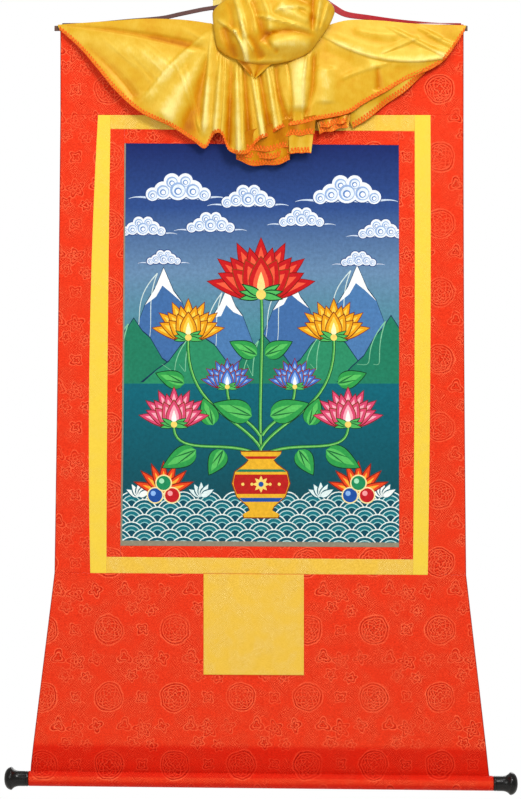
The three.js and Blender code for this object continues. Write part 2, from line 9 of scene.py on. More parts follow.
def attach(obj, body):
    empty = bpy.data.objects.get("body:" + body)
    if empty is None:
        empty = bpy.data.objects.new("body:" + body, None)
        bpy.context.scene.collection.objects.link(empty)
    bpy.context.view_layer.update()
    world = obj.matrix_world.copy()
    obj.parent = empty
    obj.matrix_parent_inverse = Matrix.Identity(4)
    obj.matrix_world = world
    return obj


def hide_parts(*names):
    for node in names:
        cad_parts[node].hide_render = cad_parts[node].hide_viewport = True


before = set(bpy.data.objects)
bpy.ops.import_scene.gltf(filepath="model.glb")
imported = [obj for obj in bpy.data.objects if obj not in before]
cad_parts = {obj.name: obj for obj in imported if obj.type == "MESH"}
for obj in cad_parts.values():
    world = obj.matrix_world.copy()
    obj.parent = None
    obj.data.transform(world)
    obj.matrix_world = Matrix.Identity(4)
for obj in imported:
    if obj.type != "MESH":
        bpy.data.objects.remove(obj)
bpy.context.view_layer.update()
scene = bpy.context.scene
scene.view_settings.view_transform = "Standard"  # keeps the brocade's strong red
mm = 0.001  # the tables are in millimetres, everything built is in metres


# Small tools

def srgb(hexText):
    parts = [int(hexText[i:i + 2], 16) / 255 for i in (0, 2, 4)]
    return tuple(c / 12.92 if c <= 0.04045 else ((c + 0.055) / 1.055) ** 2.4 for c in parts) + (1.0,)


def addNode(tree, kind, inputs=(), out=0, **settings):
    node = tree.nodes.new("ShaderNode" + kind)
    for name, value in settings.items():
        setattr(node, name, value)
    for key, value in inputs.items() if isinstance(inputs, dict) else enumerate(inputs):
        if isinstance(value, bpy.types.NodeSocket):
            tree.links.new(value, node.inputs[key])
        elif value is not None:
            node.inputs[key].default_value = value
    return node.outputs[out] if len(node.outputs) else node


def newMaterial(name):
    material = bpy.data.materials.new(name)
    material.use_nodes = True
    material.node_tree.nodes.clear()
    return material, material.node_tree


def fillRamp(socket, stops):
    elements = socket.node.color_ramp.elements
    while len(elements) < len(stops):
        elements.new(0.5)
    for element, (place, colour) in zip(elements, stops):
        element.position = place
        element.color = srgb(colour)


def smoothstep(value, low, high):
    t = np.clip((value - low) / (high - low), 0, 1)
    return t * t * (3 - 2 * t)


def lerp(a, b, t):
    return a + (b - a) * t


# Catmull-Rom curve through the rows of a table, at places from 0 to 1
def alongTable(table, place):
    table = np.asarray(table, float)
    last = len(table) - 1
    span = np.clip(np.asarray(place, float), 0, 1) * last
    start = np.minimum(span.astype(int), last - 1)
    t = (span - start)[..., None]
    before, here, after, beyond = (table[np.clip(start + k, 0, last)] for k in (-1, 0, 1, 2))
    slopeHere = (after - before) / 2
    slopeNext = (beyond - here) / 2
    bend = 3 * (after - here) - 2 * slopeHere - slopeNext
    twist = 2 * (here - after) + slopeHere + slopeNext
    return here + t * (slopeHere + t * (bend + t * twist))


def newPiece(name, points, faces, materials, nodes, sharpAngle=50):
    mesh = bpy.data.meshes.new(name)
    mesh.from_pydata([tuple(p) for p in points], [], [tuple(int(i) for i in f) for f in faces])
    mesh.update()
    mesh.shade_smooth()
    mesh.set_sharp_from_angle(angle=math.radians(sharpAngle))
    piece = bpy.data.objects.new(name, mesh)
    scene.collection.objects.link(piece)
    for material in materials:
        mesh.materials.append(material)
    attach(piece, "root")
    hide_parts(*nodes)
    return piece


# A closed sheet from a front and a back grid, rows running down and columns to the right
def sheetFaces(rows, columns):
    layer = rows * columns
    ids = np.arange(layer).reshape(rows, columns)
    front = np.stack([ids[:-1, :-1], ids[1:, :-1], ids[1:, 1:], ids[:-1, 1:]], -1).reshape(-1, 4)
    rim = np.concatenate([ids[0, :-1], ids[:-1, -1], ids[-1, :0:-1], ids[:0:-1, 0]])
    after = np.roll(rim, -1)
    sides = np.stack([rim, after, after + layer, rim + layer], -1)
    return np.concatenate([front, front[:, ::-1] + layer, sides])


def surfaceNormals(grid):
    right = np.gradient(grid, axis=1)
    down = np.gradient(grid, axis=0)
    normal = np.cross(down, right)
    return normal / np.maximum(np.linalg.norm(normal, axis=-1, keepdims=True), 1e-12)


def sheetPiece(name, middle, thick, material, nodes):
    rows, columns = middle.shape[:2]
    offset = surfaceNormals(middle) * thick / 2
    points = np.concatenate([(middle + offset).reshape(-1, 3), (middle - offset).reshape(-1, 3)])
    return newPiece(name, points, sheetFaces(rows, columns), [material], nodes)


# Camera: level, square to the scroll, far enough away to show almost no perspective
view = {"height": 799, "mmPerPixel": 1.54, "centre": (-0.8, -664.5), "distance": 5.0, "sensor": 24.0}

camera = bpy.data.objects.new("camera", bpy.data.cameras.new("camera"))
scene.collection.objects.link(camera)
camera.location = (view["centre"][0] * mm, -view["distance"], view["centre"][1] * mm)
camera.rotation_euler = (math.radians(90), 0, 0)
viewHeight = view["height"] * view["mmPerPixel"] * mm
camera.data.sensor_fit = "VERTICAL"
camera.data.sensor_height = view["sensor"]
camera.data.sensor_width = view["sensor"]
camera.data.lens = view["sensor"] * view["distance"] / viewHeight
scene.camera = camera
print("camera set")


# Woven ribbon: fine cross ribs and a soft gloss, crimson on the right leg and dark brown on the left
def ribbonMaterial():
    ribs = 1.6 * mm  # real ribs are 0.4 mm, drawn coarser so that they show
    material, tree = newMaterial("ribbon_woven")
    place = addNode(tree, "TexCoord", out=3)
    x = addNode(tree, "SeparateXYZ", [place])
    slub = addNode(tree, "TexNoise", {"Vector": place, "Scale": 1 / (3 * mm), "Detail": 3.0})
    side = addNode(tree, "MapRange", [x, -30 * mm, 30 * mm, 0.0, 1.0])
    leg = addNode(tree, "ValToRGB", [side])
    fillRamp(leg, [(0, "5e403c"), (0.5, "741a22"), (1, "a3141f")])
    tint = addNode(tree, "MapRange", [slub, 0.3, 0.7, 0.8, 1.15])
    colour = addNode(tree, "VectorMath", {0: leg, "Scale": tint}, operation="SCALE")
    weave = addNode(tree, "TexWave", {"Vector": place, "Scale": 1 / ribs / 20 * math.pi, "Distortion": 0.6})
    bump = addNode(tree, "Bump", {"Height": weave, "Strength": 0.35, "Distance": 0.2 * mm})
    skin = addNode(tree, "BsdfPrincipled", {
        "Base Color": colour, "Roughness": 0.55, "IOR": 1.5, "Specular IOR Level": 0.3, "Normal": bump})
    addNode(tree, "OutputMaterial", [skin])
    return material


# Hanging strap: x, z and the turn of its width out of the front-to-back direction, in metres and degrees
strap = {
    "width": 0.010, "thick": 0.0012, "y": 0.001, "steps": 360,
    "route": [
        (-0.306, -0.086, 0), (-0.262, -0.0844, 10), (-0.207, -0.0806, 25), (-0.151, -0.0765, 38),
        (-0.125, -0.071, 40), (-0.094, -0.0645, 40), (-0.060, -0.0575, 38), (-0.037, -0.043, 30),
        (-0.0185, -0.0215, 15), (-0.006, -0.004, 0), (0.0, 0.0, 0), (0.0075, -0.0035, 0),
        (0.032, -0.0185, 25), (0.0645, -0.034, 60), (0.097, -0.051, 75), (0.112, -0.061, 75),
        (0.129, -0.0705, 65), (0.168, -0.0765, 50), (0.214, -0.082, 35), (0.262, -0.0845, 12),
        (0.308, -0.086, 0)],
}


# Centripetal Catmull-Rom route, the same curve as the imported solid's
def smoothRoute(route, steps):
    points = np.array([(x, z) for x, z, turn in route])
    points = np.vstack([2 * points[0] - points[1], points, 2 * points[-1] - points[-2]])
    placed = []
    for place in np.linspace(0, len(route) - 1, steps + 1):
        start = min(int(place), len(route) - 2)
        p0, p1, p2, p3 = points[start:start + 4]
        d0, d1, d2 = (np.linalg.norm(b - a) ** 0.5 for a, b in ((p0, p1), (p1, p2), (p2, p3)))
        slope1 = ((p1 - p0) / d0 - (p2 - p0) / (d0 + d1) + (p2 - p1) / d1) * d1
        slope2 = ((p2 - p1) / d1 - (p3 - p1) / (d1 + d2) + (p3 - p2) / d2) * d1
        t = place - start
        bend = 3 * (p2 - p1) - 2 * slope1 - slope2
        twist = 2 * (p1 - p2) + slope1 + slope2
        placed.append(p1 + t * (slope1 + t * (bend + t * twist)))
    return np.array(placed)


def makeStrap():
    route = smoothRoute(strap["route"], strap["steps"])
    turn = np.radians(alongTable([[row[2]] for row in strap["route"]], np.linspace(0, 1, len(route)))[:, 0])
    ahead = np.gradient(route, axis=0)
    ahead /= np.linalg.norm(ahead, axis=1, keepdims=True)
    path = np.stack([route[:, 0], np.full(len(route), strap["y"]), route[:, 1]], -1)
    up = np.stack([-ahead[:, 1], np.zeros(len(route)), ahead[:, 0]], -1)
    front = np.array([0.0, -1.0, 0.0])
    across = -up * np.sin(turn)[:, None] + front * np.cos(turn)[:, None]
    lanes = np.array([-0.5, -0.42, -0.2, 0.0, 0.2, 0.42, 0.5]) * strap["width"]
    middle = path[None] + across[None] * lanes[:, None, None]
    piece = sheetPiece("hanging_ribbon", middle, strap["thick"], ribbonMaterial(),
                       ["hanging_strap"])


makeStrap()


# Brocade: a figure repeats over the cloth in lighter and darker lines of the ground's own colour, with
# scrolling leaves scattered between. Each group has its place in the repeat, its turn in degrees, and
# outlines of radius, petals, petal depth and line width.
brocadeRepeat = {
    "pitch": (102, 104), "corner": (-132.4, -1227), "lineGap": 2.2,
    "figures": [
        ((0, 0), 0, [(23, 0, 0, 1.3), (19, 0, 0, 1.1), (15, 12, 0.1, 1.2), (10.5, 8, 0.16, 1.3),
                     (5.5, 4, 0.3, 1.4)]),
        ((51, 0), 45, [(9, 4, 0.24, 1.2), (4.4, 4, 0.3, 1.4)]),
        ((36, 34), 20, [(9, 5, 0.22, 1.2), (4.6, 5, 0.25, 1.5)]),
        ((66, 30), 50, [(8.5, 6, 0.2, 1.2), (3.8, 3, 0.2, 1.5)]),
        ((24, 62), 35, [(10, 3, 0.3, 1.2), (5.5, 3, 0.3, 1.4)]),
        ((51, 55), -30, [(12, 5, 0.26, 1.2), (7, 5, 0.3, 1.3), (3, 0, 0, 1.3)]),
        ((82, 60), 75, [(9, 4, 0.3, 1.2), (4.5, 4, 0.3, 1.4)])],
}


def brocadeMaterial(name, ground, line, shade, gloss, strength, figured, scroll):
    material, tree = newMaterial(name)
    place = addNode(tree, "TexCoord", out=3)
    split = addNode(tree, "SeparateXYZ", [place]).node
    flat = addNode(tree, "CombineXYZ", [split.outputs[0], split.outputs[2]])
    warp = addNode(tree, "TexNoise", {"Vector": flat, "Scale": 1 / (22 * mm), "Detail": 2.0}, out=1)
    pull = addNode(tree, "VectorMath", {0: warp, 1: (0.5, 0.5, 0.5)}, operation="SUBTRACT")
    pull = addNode(tree, "VectorMath", {0: pull, "Scale": 9 * mm}, operation="SCALE")
    flat = addNode(tree, "VectorMath", [flat, pull], operation="ADD")  # hand-set cloth never lies quite true
    # leaves: short curls round scattered points
    spread = addNode(tree, "TexVoronoi", {"Vector": flat, "Scale": 1 / (scroll * mm), "Exponent": 0.7},
                     voronoi_dimensions="2D", distance="MINKOWSKI")
    curl = addNode(tree, "Math", [spread, 16.0], operation="MULTIPLY")
    curl = addNode(tree, "Math", [curl], operation="SINE")
    sprays = addNode(tree, "TexNoise", {"Vector": flat, "Scale": 1 / (3 * scroll * mm), "Detail": 1.0})
    sprays = addNode(tree, "MapRange", [sprays, 0.4, 0.56, 0.2, 1.0])
    crest = addNode(tree, "MapRange", [curl, 0.45, 0.95, 0.0, 1.0])
    light = addNode(tree, "Math", [crest, sprays], operation="MULTIPLY")
    trough = addNode(tree, "MapRange", [curl, -0.4, -0.9, 0.0, 1.0])
    dark = addNode(tree, "Math", [trough, sprays], operation="MULTIPLY")
    cornerX, cornerZ = brocadeRepeat["corner"]
    halfPitch = [p * mm / 2 for p in brocadeRepeat["pitch"]] + [1.0]
    for (offsetX, offsetZ), turn, outlines in brocadeRepeat["figures"] if figured else ():
        centre = ((cornerX + offsetX) * mm, (cornerZ + offsetZ) * mm, 0.0)
        moved = addNode(tree, "VectorMath", {0: flat, 1: centre}, operation="SUBTRACT")
        cell = addNode(tree, "VectorMath", [moved, halfPitch, [-h for h in halfPitch]], operation="WRAP")
        cell = addNode(tree, "VectorMath", [cell, (1.0, 1.0, 0.0)], operation="MULTIPLY")
        radius = addNode(tree, "VectorMath", [cell], operation="LENGTH", out=1)
        parts = addNode(tree, "SeparateXYZ", [cell]).node
        angle = addNode(tree, "Math", [parts.outputs[1], parts.outputs[0]], operation="ARCTAN2")
        for size, petals, depth, width in outlines:
            edge = size * mm
            if petals:
                start = math.radians(turn) * petals
                swing = addNode(tree, "Math", [angle, float(petals), start], operation="MULTIPLY_ADD")
                lobe = addNode(tree, "Math", [swing], operation="COSINE")
                edge = addNode(tree, "Math", [lobe, depth * size * mm, size * mm], operation="MULTIPLY_ADD")
            away = addNode(tree, "Math", [radius, edge], operation="SUBTRACT")
            near = addNode(tree, "Math", [away], operation="ABSOLUTE")
            drawn = addNode(tree, "MapRange", [near, 0.2 * width * mm, width * mm, 1.0, 0.0])
            light = addNode(tree, "Math", [light, drawn], operation="MAXIMUM")
            inside = addNode(tree, "Math", [away, brocadeRepeat["lineGap"] * mm], operation="ADD")
            inside = addNode(tree, "Math", [inside], operation="ABSOLUTE")
            drawn = addNode(tree, "MapRange", [inside, 0.5 * width * mm, 1.5 * width * mm, 1.0, 0.0])
            dark = addNode(tree, "Math", [dark, drawn], operation="MAXIMUM")
    # real threads are 0.25 mm, drawn coarser so that they show; they break up every line
    threads = addNode(tree, "Mapping", {"Vector": place, "Scale": (1.0, 1.0, 1.6)})
    slub = addNode(tree, "TexNoise", {
        "Vector": threads, "Scale": 1 / (2.2 * mm), "Detail": 3.0, "Roughness": 0.7})
    patchy = addNode(tree, "TexNoise", {"Vector": place, "Scale": 1 / (38 * mm), "Detail": 2.0})
    broken = addNode(tree, "MapRange", [slub, 0.36, 0.58, 0.25, 1.0])
    # painted sheen: the figure shows more strongly in broad random patches, as where it catches the light
    sheenPatches = addNode(tree, "MapRange", [patchy, 0.36, 0.6, 0.55, 1.0])
    broken = addNode(tree, "Math", [broken, sheenPatches], operation="MULTIPLY")
    broken = addNode(tree, "Math", [broken, strength], operation="MULTIPLY")
    lineShare = addNode(tree, "Math", [light, broken], operation="MULTIPLY")
    darkShare = addNode(tree, "Math", [dark, broken], operation="MULTIPLY")
    dull = addNode(tree, "MapRange", [slub, 0.36, 0.62, 0.45 * strength, 0.0])
    darkShare = addNode(tree, "Math", [darkShare, dull], operation="MAXIMUM")
    colour = addNode(tree, "Mix", {0: darkShare, 6: srgb(ground), 7: srgb(shade)}, out=2, data_type="RGBA")
    colour = addNode(tree, "Mix", {0: lineShare, 6: colour, 7: srgb(line)}, out=2, data_type="RGBA")
    # painted shade: cloth marked by the turned attribute is darkened and deepened, as if it lay in its own shade
    paintedShade = addNode(tree, "Attribute", out=2, attribute_name="turned")
    keep = [addNode(tree, "MapRange", [paintedShade, 0.0, 1.0, 1.0, low]) for low in (0.9, 0.4, 0.4)]
    keep = addNode(tree, "CombineXYZ", keep)
    colour = addNode(tree, "VectorMath", [colour, keep], operation="MULTIPLY")
    # painted shade also darkens the outer side edges, as if they rolled away to the sides
    edgeShade = addNode(tree, "Attribute", out=2, attribute_name="edgeShade")
    keep = addNode(tree, "MapRange", [edgeShade, 0.0, 1.0, 1.0, 0.45])
    colour = addNode(tree, "VectorMath", {0: colour, "Scale": keep}, operation="SCALE")
    rough = addNode(tree, "MapRange", [light, 0.0, 1.0, 0.62, 0.42])
    height = addNode(tree, "Math", [slub, 0.4, light], operation="MULTIPLY_ADD")
    bump = addNode(tree, "Bump", {"Height": height, "Strength": 0.3, "Distance": 0.3 * mm})
    skin = addNode(tree, "BsdfPrincipled", {
        "Base Color": colour, "Roughness": rough, "IOR": 1.5, "Specular IOR Level": 0.3,
        "Specular Tint": srgb(gloss), "Normal": bump})
    addNode(tree, "OutputMaterial", [skin])
    return material


redBrocade = brocadeMaterial("brocade_red_woven", "f23c1e", "ff6e46", "a00200", "ff7050", 1.0, True, 11)
yellowUpright = brocadeMaterial("brocade_yellow_woven", "f3d147", "fae48a", "d0a020", "ffd860", 0.5, False, 8)
yellowLevel = brocadeMaterial("brocade_gold_woven", "f2c74a", "ffec9c", "c88a18", "ffd060", 1.0, False, 8)
print("brocades made")


# Seams of the mount: x of the upright ones at the frame's top, middle and bottom seam
uprightSeams = {
    "outerLeft": (-309, -313, -318), "frameLeft": (-251, -264, -263), "borderLeft": (-231.5, -236, -238),
    "pictureLeft": (-210, -213, -217), "pictureRight": (212, 212.5, 212.5),
    "borderRight": (236.5, 236.5, 234), "frameRight": (261, 261, 257), "outerRight": (312, 313, 316),
}
# and z of the level ones where they reach the left and the right outer edge
levelSeams = {
    "frameTop": (-226.5, -226.5), "borderTop": (-247.5, -252), "pictureTop": (-269.5, -273.5),
    "pictureBottom": (-889, -892.5), "borderBottom": (-906, -911.5), "frameBottom": (-931.5, -935),
}
mount = {
    "edgeX": 310, "thick": 1.5, "seamRound": 1.6, "seamDrop": 0.5, "seamSteps": (0, 0.15, 0.5, 1.0, 1.6, 3.0),
    "cell": 9, "seamGap": 0.04, "waveHeight": 0.7, "edgeShade": (0.5, 1.9),
}


def uprightX(seam, z):
    top, middle, bottom = uprightSeams[seam]
    high, low = levelSeams["frameTop"][0], levelSeams["frameBottom"][0]
    t = (z - high) / (low - high)
    return top * (2 * t - 1) * (t - 1) + middle * 4 * t * (1 - t) + bottom * t * (2 * t - 1)


def levelZ(seam, x):
    left, right = levelSeams[seam]
    return lerp(left, right, (x + mount["edgeX"]) / (2 * mount["edgeX"]))


# Soft unevenness of hung cloth, the same on both sides of every seam
def clothWave(x, z):
    slow = np.sin(x / 61 + 0.8 * np.sin(z / 140)) * np.sin(z / 97 + 1.1)
    quick = 0.45 * np.sin(x / 27 + z / 71 + 0.4) * np.sin(z / 44 - x / 130)
    return mount["waveHeight"] * (slow + quick)


# Places across a strip of a given width, close together at its two edges
def stripPlaces(width):
    edge = np.array(mount["seamSteps"], float)
    edge = edge[edge < width * 0.45]
    cells = max(2, int(round((width - 2 * edge[-1]) / mount["cell"])))
    inside = np.linspace(edge[-1], width - edge[-1], cells + 1)
    return np.concatenate([edge[:-1], inside, width - edge[:-1][::-1]])


# How far a face sinks towards a sewn edge at some distance from it
def seamDip(distance):
    rise = np.clip(1 - distance / mount["seamRound"], 0, 1)
    return mount["seamDrop"] * (1 - np.sqrt(np.maximum(1 - rise ** 2, 0)))


# Outer edges are turned in; painted shade darkens the last millimetre or two of the face, as if it rolled away
def paintEdgeShade(piece, distance):
    edgeShade = 1 - smoothstep(distance, *mount["edgeShade"])
    edgeShade = np.tile(edgeShade.ravel(), 2).astype(np.float32)
    piece.data.attributes.new("edgeShade", "FLOAT", "POINT").data.foreach_set("value", edgeShade)


def panelPlaces(left, right, top, bottom):
    width = uprightSeams[right][1] - uprightSeams[left][1]
    height = levelSeams[top][0] - levelSeams[bottom][0]
    across, down = np.meshgrid(stripPlaces(width), stripPlaces(height))
    u, v = across / width, down / height
    inset = mount["seamGap"] / 2
    roughX = lerp(uprightSeams[left][1], uprightSeams[right][1], u)
    z = lerp(levelZ(top, roughX) - inset, levelZ(bottom, roughX) + inset, v)
    x = lerp(uprightX(left, z) + inset, uprightX(right, z) - inset, u)
    edge = np.minimum(np.minimum(across, width - across), np.minimum(down, height - down))
    return x, z, edge, width, height


def makePanel(name, left, right, top, bottom, material, slotName):
    x, z, edge, width, height = panelPlaces(left, right, top, bottom)
    half = mount["thick"] / 2 - seamDip(edge)
    wave = clothWave(x, z)
    front = np.stack([x, wave - half, z], -1)
    back = np.stack([x, wave + half, z], -1)
    points = np.concatenate([front.reshape(-1, 3), back.reshape(-1, 3)]) * mm
    piece = newPiece(name + "_cloth", points, sheetFaces(*x.shape), [material], [name])
    if left == "outerLeft":
        paintEdgeShade(piece, x - x[:, :1])
    if right == "outerRight":
        paintEdgeShade(piece, x[:, -1:] - x)


panels = {
    "side_left": ("outerLeft", "frameLeft", "frameTop", "frameBottom", redBrocade, "red_brocade"),
    "side_right": ("frameRight", "outerRight", "frameTop", "frameBottom", redBrocade, "red_brocade"),
    "frame_left": ("frameLeft", "borderLeft", "frameTop", "frameBottom", yellowUpright, "yellow_brocade"),
    "frame_right": ("borderRight", "frameRight", "frameTop", "frameBottom", yellowUpright, "yellow_brocade"),
    "frame_top": ("borderLeft", "borderRight", "frameTop", "borderTop", yellowLevel, "yellow_brocade"),
    "frame_bottom": ("borderLeft", "borderRight", "borderBottom", "frameBottom", yellowLevel, "yellow_brocade"),
    "border_left": ("borderLeft", "pictureLeft", "borderTop", "borderBottom", redBrocade, "red_brocade"),
    "border_right": ("pictureRight", "borderRight", "borderTop", "borderBottom", redBrocade, "red_brocade"),
    "border_top": ("pictureLeft", "pictureRight", "borderTop", "pictureTop", redBrocade, "red_brocade"),
    "border_bottom": ("pictureLeft", "pictureRight", "pictureBottom", "borderBottom", redBrocade, "red_brocade"),
}
for panelName, panel in panels.items():
    makePanel(panelName, *panel)
print("strips made")


# A sheet along a path of (y, z) points, its columns running to the right. edge is how far each place
# is from a cut or sewn edge.
def makeTurnedCloth(name, x, y, z, edge, material, nodes):
    middle = np.stack([x, y, z], -1)
    offset = surfaceNormals(middle) * (mount["thick"] / 2 - seamDip(edge))[..., None]
    points = np.concatenate([(middle + offset).reshape(-1, 3), (middle - offset).reshape(-1, 3)]) * mm
    piece = newPiece(name, points, sheetFaces(*x.shape), [material], nodes)
    return piece


# Heading: from the flap sewn down behind, up the back of the stave, over it and down to the frame
heading = {
    "turn": [(1.85, -113), (1.8, -107), (1.85, -102), (3.0, -98), (3.15, -94), (3.1, -90.2), (1.7, -88),
             (0, -87.85), (-1.7, -88), (-3.1, -90.2), (-3.15, -94), (-2.9, -98), (-0.9, -102.5), (0, -108)],
    "turnSteps": 52, "waveFrom": -108, "waveFull": -150,
}


def makeHeading():
    left, right = uprightSeams["outerLeft"][0], uprightSeams["outerRight"][0]
    across = stripPlaces(right - left)
    turned = alongTable(heading["turn"], np.linspace(0, 1, heading["turnSteps"] + 1))
    seam = levelSeams["frameTop"][0] + mount["seamGap"] / 2
    fall = heading["turn"][-1][1] - seam
    below = np.unique(np.concatenate([np.linspace(0, fall - 3, 14)[1:], fall - np.array(mount["seamSteps"])]))
    y = np.concatenate([turned[:, 0], np.zeros(len(below))])
    z = np.concatenate([turned[:, 1], heading["turn"][-1][1] - below])
    columns, y = np.meshgrid(across, y)
    z = np.meshgrid(across, z)[1]
    x = columns + left
    onFront = (np.arange(len(y)) >= heading["turnSteps"] - 4)[:, None]
    y = y + clothWave(x, z) * smoothstep(-z, -heading["waveFrom"], -heading["waveFull"]) * onFront
    fromSide = np.minimum(columns, right - left - columns)
    edge = np.minimum(fromSide, np.where(onFront, z - seam, fromSide))
    piece = makeTurnedCloth("heading_cloth", x, y, z, edge, redBrocade, ["heading"])
    paintEdgeShade(piece, fromSide)


makeHeading()

# Skirt: flared, leaning back above the roller, round behind it and up its front
skirt = {
    "footLeft": -355, "footRight": 351, "footZ": -1233, "rise": 48, "rollerZ": -1252,
    "tilt": math.radians(0.6), "sleeveRadius": 10.55, "sleeveHalf": 358, "wrapEnd": math.radians(-308),
    "wrapSteps": 60, "lean": 10, "pucker": 0.45,
    # radians round the roller: where the gathers set in, and the two edges of the sleeve's front band that is
    # left out of the painted shade
    "puckerFrom": (2.2, 3.4), "litFrom": (2.7, 3.1), "litTo": (3.45, 3.7),
}


def makeSkirt():
    topLeft, topRight = uprightSeams["outerLeft"][2], uprightSeams["outerRight"][2]
    across = stripPlaces(topRight - topLeft) / (topRight - topLeft)
    radius, rise = skirt["sleeveRadius"], skirt["rise"]
    rear = math.asin(radius / rise)
    seamZ = (levelSeams["frameBottom"][0] + levelSeams["frameBottom"][1]) / 2
    drop = seamZ - skirt["rollerZ"] - rise
    flatDown = np.unique(np.concatenate([mount["seamSteps"], np.linspace(3, drop - skirt["lean"], 26)]))
    bendDown = np.linspace(drop - skirt["lean"], drop, 9)[1:]
    lean = np.linspace(0, 1, 10)[1:]
    wrap = np.linspace(rear, skirt["wrapEnd"], skirt["wrapSteps"] + 1)[1:]
    down = np.concatenate([flatDown, bendDown])
    # the sheet eases out of its plane before it leans back
    bent = np.clip((down - (drop - skirt["lean"])) / skirt["lean"], 0, 1)
    ease = bent ** 2 * skirt["lean"] * math.tan(rear) * 0.25
    leanY = lerp(ease[-1], radius * math.cos(rear), lean)
    leanZ = lerp(rise, radius * math.sin(rear), lean)
    pathY = np.concatenate([ease, leanY, radius * np.cos(wrap)])
    aboveAxis = np.concatenate([np.full(len(down), rise), leanZ, radius * np.sin(wrap)])
    flatShare = np.concatenate([down / drop, np.ones(len(lean) + len(wrap))])
    u, y = np.meshgrid(across, pathY)
    above = np.meshgrid(across, aboveAxis)[1]
    share = np.meshgrid(across, flatShare)[1]
    fall = seamZ - skirt["footZ"]
    flare = np.concatenate([down, drop + rise - leanZ, np.full(len(wrap), fall)]) / fall
    leftX = lerp(topLeft, skirt["footLeft"], np.minimum(flare, 1))
    rightX = lerp(topRight, skirt["footRight"], np.minimum(flare, 1))
    sleeveShare = np.concatenate([np.zeros(len(down)), lean ** 8, np.ones(len(wrap))])
    leftX = lerp(leftX, -skirt["sleeveHalf"], sleeveShare)[:, None]
    rightX = lerp(rightX, skirt["sleeveHalf"], sleeveShare)[:, None]
    x = lerp(leftX, rightX, u)
    axisZ = skirt["rollerZ"] - x * math.tan(skirt["tilt"])
    z = lerp(levelZ("frameBottom", x) - mount["seamGap"] / 2, axisZ + above, share)
    y = y + clothWave(x, z) * (1 - smoothstep(share, 0.75, 1.0))
    gathered = smoothstep(-wrap, *skirt["puckerFrom"])
    wrapped = np.concatenate([np.zeros(len(down) + len(lean)), gathered])[:, None]
    pucker = skirt["pucker"] * wrapped * (1 + np.sin(x / 2.3 + 2 * np.sin(x / 19)) * np.sin(x / 11 + 1.3))
    y, z = y * (1 + pucker / radius), axisZ + (z - axisZ) * (1 + pucker / radius)
    fromSide = np.minimum(u, 1 - u) * (rightX - leftX)
    fromSeam = np.concatenate([down, np.full(len(lean) + len(wrap), 99.0)])[:, None]
    edge = np.minimum(fromSide, fromSeam)
    piece = makeTurnedCloth("skirt_cloth", x, y, z, edge, redBrocade, ["skirt"])
    paintEdgeShade(piece, fromSide)
    # painted shade, kept in the turned attribute: the band that leans back above the roller and the sleeve
    # outside its front band are darkened
    sleeveShade = np.maximum(1 - smoothstep(-wrap, *skirt["litFrom"]), smoothstep(-wrap, *skirt["litTo"]))
    shade = np.concatenate([smoothstep(down, drop - skirt["lean"], drop), np.ones(len(lean)), sleeveShade])
    shade = np.tile(np.repeat(shade, x.shape[1]), 2).astype(np.float32)
    piece.data.attributes.new("turned", "FLOAT", "POINT").data.foreach_set("value", shade)


makeSkirt()

# Patch sewn on the skirt under the frame
patch = {"left": -88.5, "right": 66, "height": 155, "thick": 1.2, "gap": 0.3}


def makePatch():
    width = patch["right"] - patch["left"]
    across, down = np.meshgrid(stripPlaces(width), stripPlaces(patch["height"]))
    x = patch["left"] + across
    z = levelZ("frameBottom", x) - patch["gap"] - down
    edge = np.minimum(np.minimum(across, width - across), np.minimum(down, patch["height"] - down))
    y = -(mount["thick"] / 2 + patch["gap"] + patch["thick"] / 2) + clothWave(x, z)
    half = patch["thick"] / 2 - 0.8 * seamDip(edge)
    front, back = np.stack([x, y - half, z], -1), np.stack([x, y + half, z], -1)
    points = np.concatenate([front.reshape(-1, 3), back.reshape(-1, 3)]) * mm
    piece = newPiece("door_patch_cloth", points, sheetFaces(*x.shape), [yellowLevel],
                     ["door_patch"])


makePatch()
print("heading, skirt and patch made")


# Stained pine: long soft grain along the rod
def woodMaterial():
    material, tree = newMaterial("pine_stained")
    place = addNode(tree, "TexCoord", out=3)
    stretched = addNode(tree, "Mapping", {"Vector": place, "Scale": (0.08, 1.0, 1.0)})
    grain = addNode(tree, "TexNoise", {
        "Vector": stretched, "Scale": 1 / (1.5 * mm), "Detail": 5.0, "Distortion": 0.4})
    colour = addNode(tree, "ValToRGB", [grain])
    fillRamp(colour, [(0.3, "3a2116"), (0.7, "6e4630")])
    bump = addNode(tree, "Bump", {"Height": grain, "Strength": 0.2, "Distance": 0.2 * mm})
    skin = addNode(tree, "BsdfPrincipled", {
        "Base Color": colour, "Roughness": 0.55, "IOR": 1.5, "Normal": bump})
    addNode(tree, "OutputMaterial", [skin])
    return material


# Black lacquer on turned wood: a hard gloss over faint turning rings
def lacquerMaterial():
    material, tree = newMaterial("wood_turned_black_lacquer")
    place = addNode(tree, "TexCoord", out=3)
    rings = addNode(tree, "TexWave", {"Vector": place, "Scale": math.pi / 20 / (1.2 * mm), "Distortion": 0.3})
    dust = addNode(tree, "TexNoise", {"Vector": place, "Scale": 1 / (2 * mm), "Detail": 3.0})
    colour = addNode(tree, "ValToRGB", [dust])
    fillRamp(colour, [(0.35, "0a0909"), (0.75, "191817")])
    rough = addNode(tree, "MapRange", [dust, 0.3, 0.7, 0.22, 0.36])
    bump = addNode(tree, "Bump", {"Height": rings, "Strength": 0.12, "Distance": 0.1 * mm})
    skin = addNode(tree, "BsdfPrincipled", {
        "Base Color": colour, "Roughness": rough, "IOR": 1.5, "Specular IOR Level": 0.25, "Coat Weight": 0.15,
        "Coat Roughness": 0.12, "Normal": bump})
    addNode(tree, "OutputMaterial", [skin])
    return material


stainedPine = woodMaterial()
for nodeName in ("top_stave", "roller_rod"):
    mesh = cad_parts[nodeName].data
    mesh.materials.clear()
    mesh.materials.append(stainedPine)

